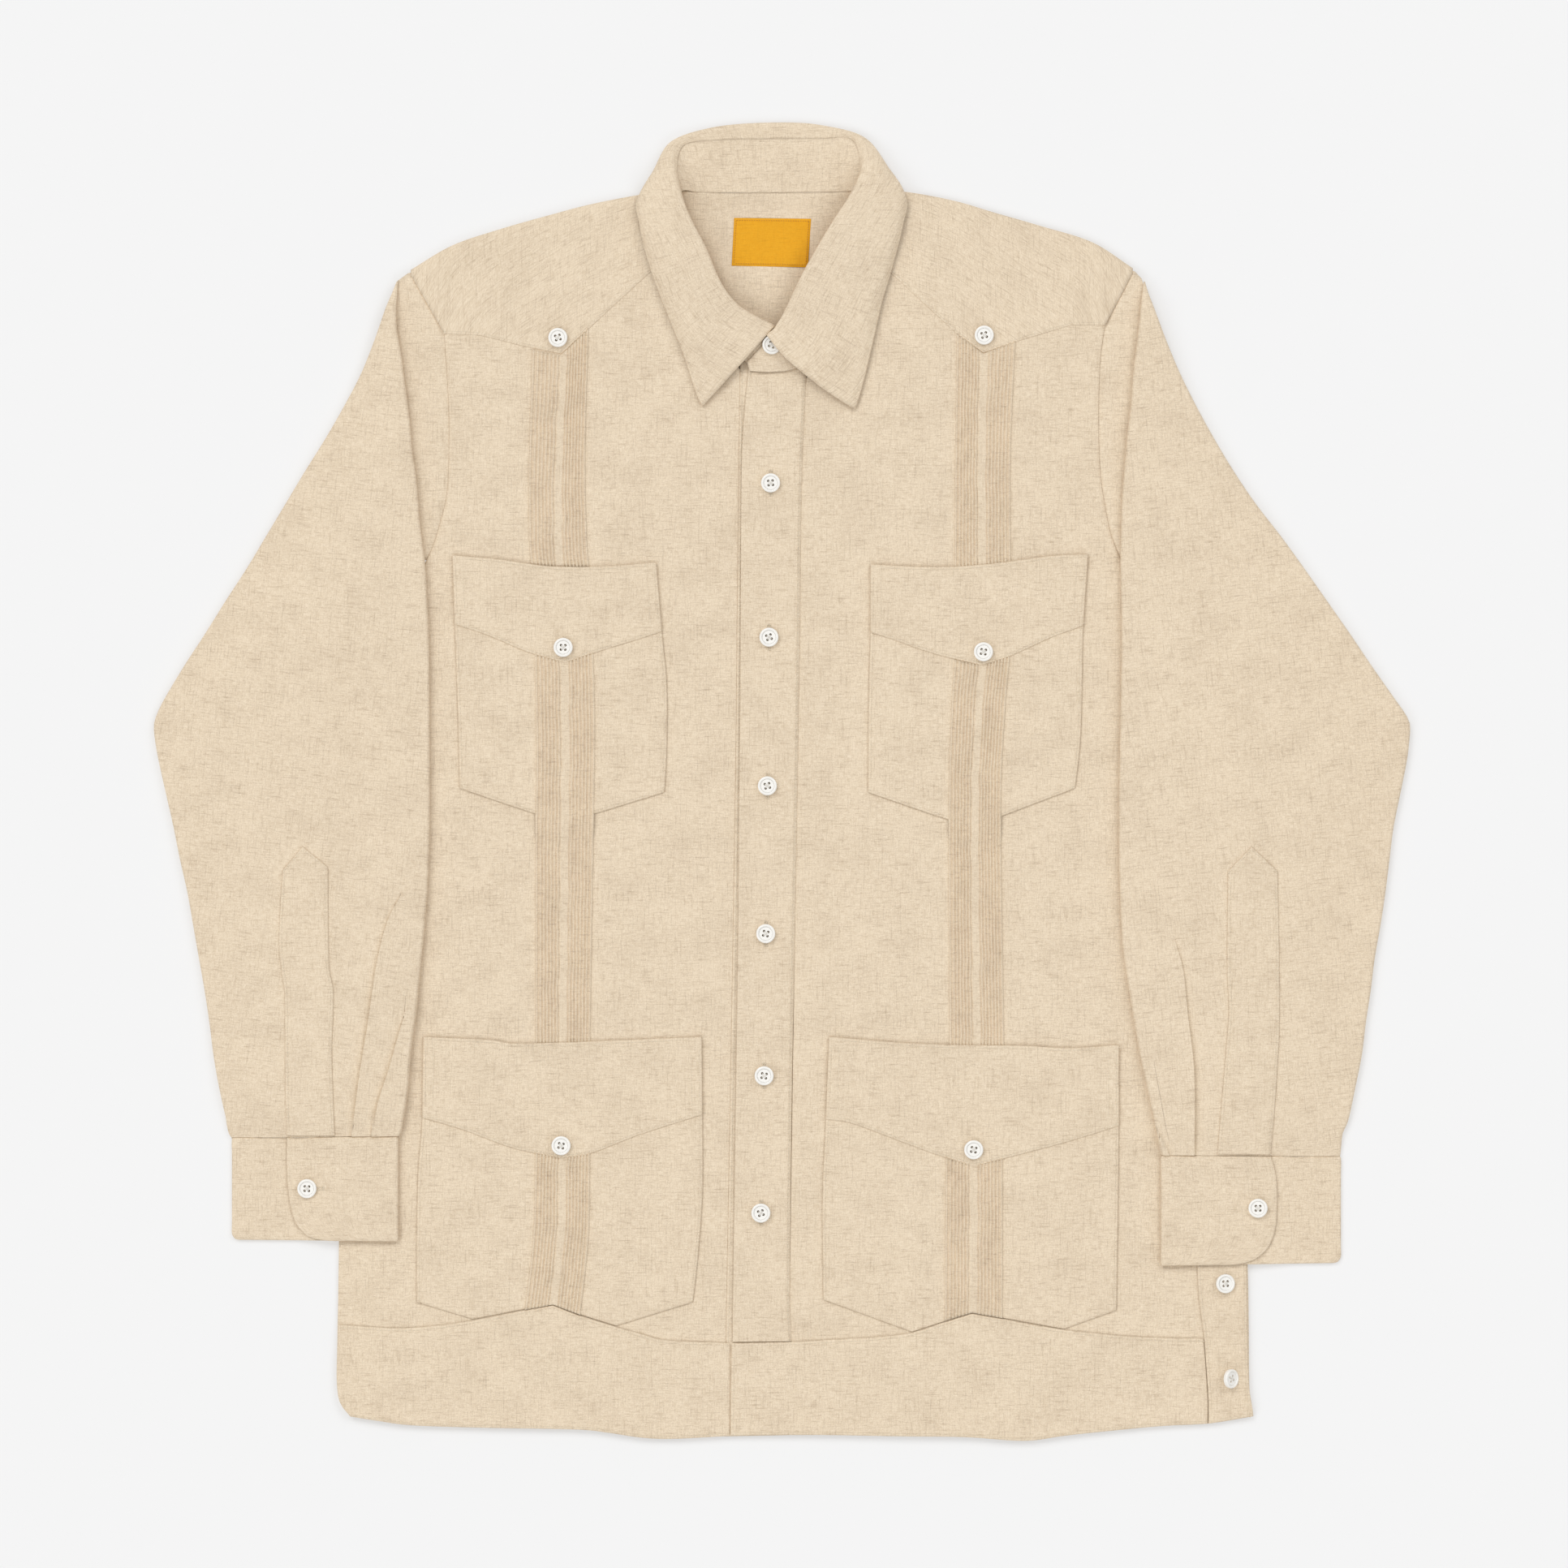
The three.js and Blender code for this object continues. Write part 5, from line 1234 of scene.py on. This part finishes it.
BUTTONS = [  # name, x, y, height of its underside, tilt about Y
    ("front_1", -7, 184, "front", 0), ("front_2", -8, 89, "front", 0),
    ("front_3", -9, -2.5, "front", 0), ("front_4", -10, -93.5, "front", 0),
    ("front_5", -11, -181, "front", 0), ("front_6", -13, -265.5, "front", 0),
    ("collar", -6.2, 269, 7.3, 0),
    ("yoke_right", -138, 273.5, "yoke", 0), ("yoke_left", 124.5, 275, "yoke", 0),
    ("upper_right", -134.7, 82.7, "flap", 0), ("upper_left", 124, 80, "flap", 0),
    ("lower_right", -136, -224, "flap", 0), ("lower_left", 118, -226.5, "flap", 0),
    ("cuff_right", -292.5, -250.5, "cuff", 0), ("cuff_left", 293, -262.5, "cuff", 0),
    ("vent_1", 273, -309, "front", 0.25), ("vent_2", 276.5, -367.5, "front", 0.8),
]
BUTTON_UNDER = {"front": ON_FRONT + WALL + 0.35, "yoke": ON_BACK + WALL + 0.9,
                "flap": ON_POCKET + WALL + 0.1}
button_model, thread_model = model_button(), model_thread()
for name, x, y, on, tilt in BUTTONS:
    if on == "cuff":
        s = SLEEVES["left" if x > 0 else "right"]
        z = float(sleeve_under(s, np.array(abs(x)), np.array(y))) + 2 * PLY + WALL + 0.75
    elif isinstance(on, str):
        z = float(lie(np.array(x), np.array(y))) + BUTTON_UNDER[on]
    else:
        z = on
    spin = rng.uniform(-0.35, 0.35)
    place = (Matrix.Translation((x, y, z + 1.1 + 2.6 * math.sin(tilt)))
             @ Matrix.Rotation(tilt, 4, "Y") @ Matrix.Rotation(spin, 4, "Z"))
    for model, prefix in ((button_model, "shirt_button_"), (thread_model, "button_thread_")):
        mesh = model.data.copy()
        mesh.transform(Matrix.Scale(MM, 4) @ place)
        obj = bpy.data.objects.new(prefix + name, mesh)
        scene.collection.objects.link(obj)
        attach(obj, "root")
        if model is button_model:
            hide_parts("button_" + name)
for model in (button_model, thread_model):
    bpy.data.objects.remove(model, do_unlink=True)

# ---------------------------------------------------------------- top-stitching


def run_stitches(name, paths, pitch=2.5, length=2.0, width=0.42, height=0.22):
    """One lozenge of thread for each stitch, set along every seam."""
    rim = np.array([[-0.5, 0, 0], [-0.25, 0.5, 0], [0.25, 0.5, 0], [0.5, 0, 0],
                    [0.25, -0.5, 0], [-0.25, -0.5, 0]])
    crest = np.array([[-0.22, 0, 1], [0.22, 0, 1]])
    shape = np.vstack([rim, crest, crest * [1, 1, -1]]) * [length, width, height]
    tri = [[0, 6, 1], [1, 6, 7], [1, 7, 2], [2, 7, 3], [3, 7, 4], [4, 7, 6], [4, 6, 5],
           [5, 6, 0], [1, 8, 0], [9, 8, 1], [2, 9, 1], [3, 9, 2], [4, 9, 3], [8, 9, 4],
           [5, 8, 4], [0, 8, 5]]
    verts, faces = [], []
    for path in paths:
        path = np.asarray(path, float)
        far = run_along(path)
        at = np.arange(pitch * 0.5, far[-1], pitch)
        p = np.stack([np.interp(at, far, path[:, i]) for i in range(3)], -1)
        q = np.stack([np.interp(np.minimum(at + 0.6, far[-1]), far, path[:, i])
                      for i in range(3)], -1)
        ahead = q - p
        ahead /= np.maximum(np.linalg.norm(ahead, axis=-1, keepdims=True), 1e-9)
        aside = np.cross([0, 0, 1.0], ahead)
        aside /= np.maximum(np.linalg.norm(aside, axis=-1, keepdims=True), 1e-9)
        up = np.cross(ahead, aside)
        for c, a, b, d in zip(p, ahead, aside, up):
            first = len(verts) * len(shape)
            verts.append(c + shape[:, :1] * a + shape[:, 1:2] * b + shape[:, 2:] * d)
            faces.append(np.array(tri) + first)
    new_object(name, np.vstack(verts), np.vstack(faces))


run_stitches("top_stitching", seams)


def buttonhole(x, y, z, upright):
    """Two close rows of cross stitches and a bar at each end."""
    paths = []
    rows = [(np.linspace(-7.6, 7.6, 20), side) for side in (-0.72, 0.72)]
    bars = [(end, np.array([-1.1, 0, 1.1])) for end in (-7.7, 7.7)]
    for along, across in rows + bars:
        along, across = np.broadcast_arrays(along, across)
        px, py = (x + across, y + along) if upright else (x + along, y + across)
        paths.append(np.stack([px, py, z(px, py)], -1))
    return paths


border = []
corners = [(0.03, 0.05), (0.97, 0.05), (0.97, 0.95), (0.03, 0.95)]
for a, b in zip(corners, corners[1:] + corners[:1]):
    x, y = label(np.linspace(a[0], b[0], 30), np.linspace(a[1], b[1], 30)).T
    border.append(np.stack([x, y, label_under(x, y) + 0.69], -1))
run_stitches("label_stitches", border, pitch=1.5, length=0.85, width=0.5, height=0.2)

holes = []
for name, x, y, on, _ in BUTTONS:
    if name.startswith("front_"):
        holes += buttonhole(x, y, lambda px, py: lie(px, py) + ON_FRONT + WALL + 0.22, True)
    if name.startswith("cuff_"):
        side = "left" if x > 0 else "right"
        s, shift = SLEEVES[side], 2.6 if x < 0 else -2.6
        holes += buttonhole(x + shift, y, lambda px, py, s=s: sleeve_under(s, np.abs(px), py)
                            + 2 * PLY + WALL + 0.25, False)
run_stitches("buttonholes", holes, pitch=0.62, length=0.5, width=1.15, height=0.26)

# ---------------------------------------------------------------- materials


def group_linen():
    """Slubby plain weave: colour and height from the cloth's own grain."""
    tree = bpy.data.node_groups.new("linen_weave", "ShaderNodeTree")
    face = tree.interface
    for way, name, kind in [
        ("INPUT", "Grain", "Vector"), ("INPUT", "Ground", "Color"), ("INPUT", "Flax", "Color"),
        ("INPUT", "Pale", "Color"), ("INPUT", "Slub amount", "Float"),
        ("OUTPUT", "Color", "Color"), ("OUTPUT", "Height", "Float"),
    ]:
        face.new_socket(name, in_out=way, socket_type="NodeSocket" + kind)
    n, l = tree.nodes, tree.links
    start, end = n.new("NodeGroupInput"), n.new("NodeGroupOutput")

    def noise(scale_x, scale_y, detail, shift, rough=0.5):
        m = n.new("ShaderNodeMapping")
        m.inputs["Scale"].default_value = (scale_x, scale_y, 1)
        m.inputs["Location"].default_value = (shift, shift * 0.7, 0)
        t = n.new("ShaderNodeTexNoise")
        t.noise_dimensions = "2D"
        t.inputs["Scale"].default_value = 1
        t.inputs["Detail"].default_value = detail
        t.inputs["Roughness"].default_value = rough
        l.new(start.outputs["Grain"], m.inputs["Vector"])
        l.new(m.outputs["Vector"], t.inputs["Vector"])
        return t.outputs["Fac"]

    def between(value, low, high, out_low=0.0, out_high=1.0):
        r = n.new("ShaderNodeMapRange")
        for key, v in (("From Min", low), ("From Max", high), ("To Min", out_low),
                       ("To Max", out_high)):
            r.inputs[key].default_value = v
        l.new(value, r.inputs["Value"])
        return r.outputs["Result"]

    def maths(kind, a, b):
        m = n.new("ShaderNodeMath")
        m.operation = kind
        for k, v in enumerate((a, b)):
            if isinstance(v, (int, float)):
                m.inputs[k].default_value = v
            else:
                l.new(v, m.inputs[k])
        return m.outputs[0]

    def blend(fac, a, b):
        m = n.new("ShaderNodeMix")
        m.data_type = "RGBA"
        l.new(fac, m.inputs["Factor"])
        for key, v in ((6, a), (7, b)):
            l.new(v, m.inputs[key])
        return m.outputs[2]

    # Grain is in metres: a scale of 1000 is one wave a millimetre.
    weft = noise(260, 1500, 3, 3.1, 0.6)
    warp = noise(1500, 260, 3, 7.7, 0.6)
    weft_slub = between(noise(85, 950, 3, 11.3, 0.55), 0.55, 0.80)
    warp_slub = between(noise(900, 62, 3, 17.9, 0.55), 0.55, 0.82)
    fleck = between(noise(240, 1150, 2, 23.1), 0.67, 0.80)
    mottle = between(noise(300, 420, 3, 41.0, 0.6), 0.30, 0.70)
    cloud = noise(36, 48, 4, 5.0, 0.6)
    crossing = noise(1250, 1250, 2, 31.0, 0.7)
    thread = maths("ADD", maths("MULTIPLY", weft, 0.52), maths("MULTIPLY", warp, 0.48))
    pale = maths("ADD", maths("MULTIPLY", between(thread, 0.40, 0.60), 0.5),
                 maths("MULTIPLY", mottle, 0.2))
    pale = maths("ADD", pale, maths("MULTIPLY", between(crossing, 0.34, 0.66), 0.3))
    ground = blend(pale, start.outputs["Ground"], start.outputs["Pale"])
    dark = maths("ADD", maths("MULTIPLY", weft_slub, 0.54), maths("MULTIPLY", warp_slub, 0.44))
    dark = maths("ADD", dark, maths("MULTIPLY", fleck, 0.36))
    dark = maths("ADD", dark, between(cloud, 0.28, 0.72, 0.17, -0.10))
    dark = maths("ADD", dark, between(crossing, 0.3, 0.7, 0.12, -0.06))
    dark = maths("MULTIPLY", dark, start.outputs["Slub amount"])
    clamp = n.new("ShaderNodeClamp")
    l.new(dark, clamp.inputs["Value"])
    l.new(blend(clamp.outputs["Result"], ground, start.outputs["Flax"]), end.inputs["Color"])
    raised = maths("ADD", thread, maths("MULTIPLY", weft_slub, 0.35))
    raised = maths("ADD", raised, maths("MULTIPLY", crossing, 0.4))
    l.new(raised, end.inputs["Height"])
    return tree


linen = group_linen()


def new_material(name, roughness):
    mat = bpy.data.materials.new(name)
    mat.use_nodes = True
    shader = mat.node_tree.nodes["Principled BSDF"]
    shader.inputs["Roughness"].default_value = roughness
    return mat, mat.node_tree.nodes, mat.node_tree.links, shader


def cloth_material(name, ground, flax, pale, slub, roughness=0.92, bump=0.35):
    """The weave group on cloth, in three yarn colours."""
    mat, n, l, shader = new_material(name, roughness)
    shader.inputs["Specular IOR Level"].default_value = 0.15
    shader.inputs["Sheen Weight"].default_value = 0.12
    shader.inputs["Sheen Roughness"].default_value = 0.5
    uv = n.new("ShaderNodeUVMap")
    uv.uv_map = "grain"
    g = n.new("ShaderNodeGroup")
    g.node_tree = linen
    g.inputs["Ground"].default_value = (*ground, 1)
    g.inputs["Flax"].default_value = (*flax, 1)
    g.inputs["Pale"].default_value = (*pale, 1)
    g.inputs["Slub amount"].default_value = slub
    b = n.new("ShaderNodeBump")
    b.inputs["Strength"].default_value = bump
    b.inputs["Distance"].default_value = 0.0004
    l.new(uv.outputs["UV"], g.inputs["Grain"])
    l.new(g.outputs["Color"], shader.inputs["Base Color"])
    l.new(g.outputs["Height"], b.inputs["Height"])
    l.new(b.outputs["Normal"], shader.inputs["Normal"])
    return mat


def plain_material(name, colour, roughness, speckle, sheen=0.0, coat=0.0, vary=0.14):
    """One colour with a faint speckle, its scale in waves a metre."""
    mat, n, l, shader = new_material(name, roughness)
    shader.inputs["Sheen Weight"].default_value = sheen
    shader.inputs["Coat Weight"].default_value = coat
    coord = n.new("ShaderNodeTexCoord")
    t = n.new("ShaderNodeTexNoise")
    t.inputs["Scale"].default_value = speckle
    t.inputs["Detail"].default_value = 3
    mix = n.new("ShaderNodeMix")
    mix.data_type = "RGBA"
    mix.inputs[6].default_value = (*colour, 1)
    mix.inputs[7].default_value = (*[c * (1 - vary) for c in colour], 1)
    l.new(coord.outputs["Object"], t.inputs["Vector"])
    l.new(t.outputs["Fac"], mix.inputs["Factor"])
    l.new(mix.outputs[2], shader.inputs["Base Color"])
    return mat


LINEN = cloth_material("undyed_linen", (0.70, 0.565, 0.405), (0.35, 0.245, 0.155),
                       (0.895, 0.765, 0.59), 0.62)
LABEL = cloth_material("label_satin", (0.80, 0.36, 0.012), (0.42, 0.17, 0.01),
                       (0.86, 0.43, 0.022), 0.35, 0.6, 0.2)
PEARL = plain_material("pearl_button", (0.95, 0.93, 0.885), 0.3, 260, coat=0.25, vary=0.05)
LABEL_THREAD = plain_material("label_thread", (0.66, 0.29, 0.03), 0.8, 3000, vary=0.1)
WHITE_THREAD = plain_material("button_thread", (0.88, 0.85, 0.79), 0.8, 3000, vary=0.08)
SEWING_THREAD = plain_material("sewing_thread", (0.85, 0.74, 0.57), 0.85, 3000, sheen=0.2)
FLOOR = plain_material("floor_paper", (0.50, 0.50, 0.50), 0.9, 40, vary=0.01)
glow = FLOOR.node_tree.nodes["Principled BSDF"]
glow.inputs["Emission Color"].default_value = (1, 1, 1, 1)
glow.inputs["Emission Strength"].default_value = 0.388

NOT_LINEN = {
    "shirt_button_": PEARL, "button_thread_": WHITE_THREAD, "neck_label": LABEL,
    "label_stitches": LABEL_THREAD, "top_stitching": SEWING_THREAD, "buttonholes": SEWING_THREAD,
}
for obj in scene.objects:
    if obj.type != "MESH" or "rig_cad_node" in obj:
        continue
    found = [mat for start, mat in NOT_LINEN.items() if obj.name.startswith(start)]
    obj.data.materials.clear()
    obj.data.materials.append(found[0] if found else LINEN)

# ---------------------------------------------------------------- floor, light, camera

deselect()
bpy.ops.mesh.primitive_plane_add(size=8)
floor = bpy.context.object
floor.name = "floor"
floor.data.transform(Matrix.Translation((0, 0, -0.4 * MM)))
floor.data.materials.append(FLOOR)

world = bpy.data.worlds.new("studio")
scene.world = world
world.use_nodes = True
background = world.node_tree.nodes["Background"]
background.inputs["Color"].default_value = (1, 1, 1, 1)
background.inputs["Strength"].default_value = 0.45


def soft_light(name, azimuth, height, power):
    """A distant softbox, so the whole garment is lit alike."""
    data = bpy.data.lights.new(name, "SUN")
    data.energy = power
    data.angle = math.radians(32)
    lamp = bpy.data.objects.new(name, data)
    scene.collection.objects.link(lamp)
    a, e = math.radians(azimuth), math.radians(height)
    lamp.location = (2 * math.cos(a) * math.cos(e), 2 * math.sin(a) * math.cos(e),
                     2 * math.sin(e))
    lamp.rotation_euler = (-lamp.location).to_track_quat("-Z", "Y").to_euler()


for name, azimuth, height, power in [
    ("key_softbox", 125, 48, 0.95), ("right_softbox", 40, 42, 0.65),
    ("near_softbox", 290, 40, 0.5), ("left_softbox", 205, 40, 0.6),
]:
    soft_light(name, azimuth, height, power)

camera_data = bpy.data.cameras.new("camera")
camera_data.lens = 200
camera_data.sensor_width = 36
camera_data.clip_end = 50
camera = bpy.data.objects.new("camera", camera_data)
camera.location = (0.00125, -0.00137, 0.966 * 200 / 36 + 0.003)
scene.collection.objects.link(camera)
scene.camera = camera
scene.view_settings.view_transform = "Standard"
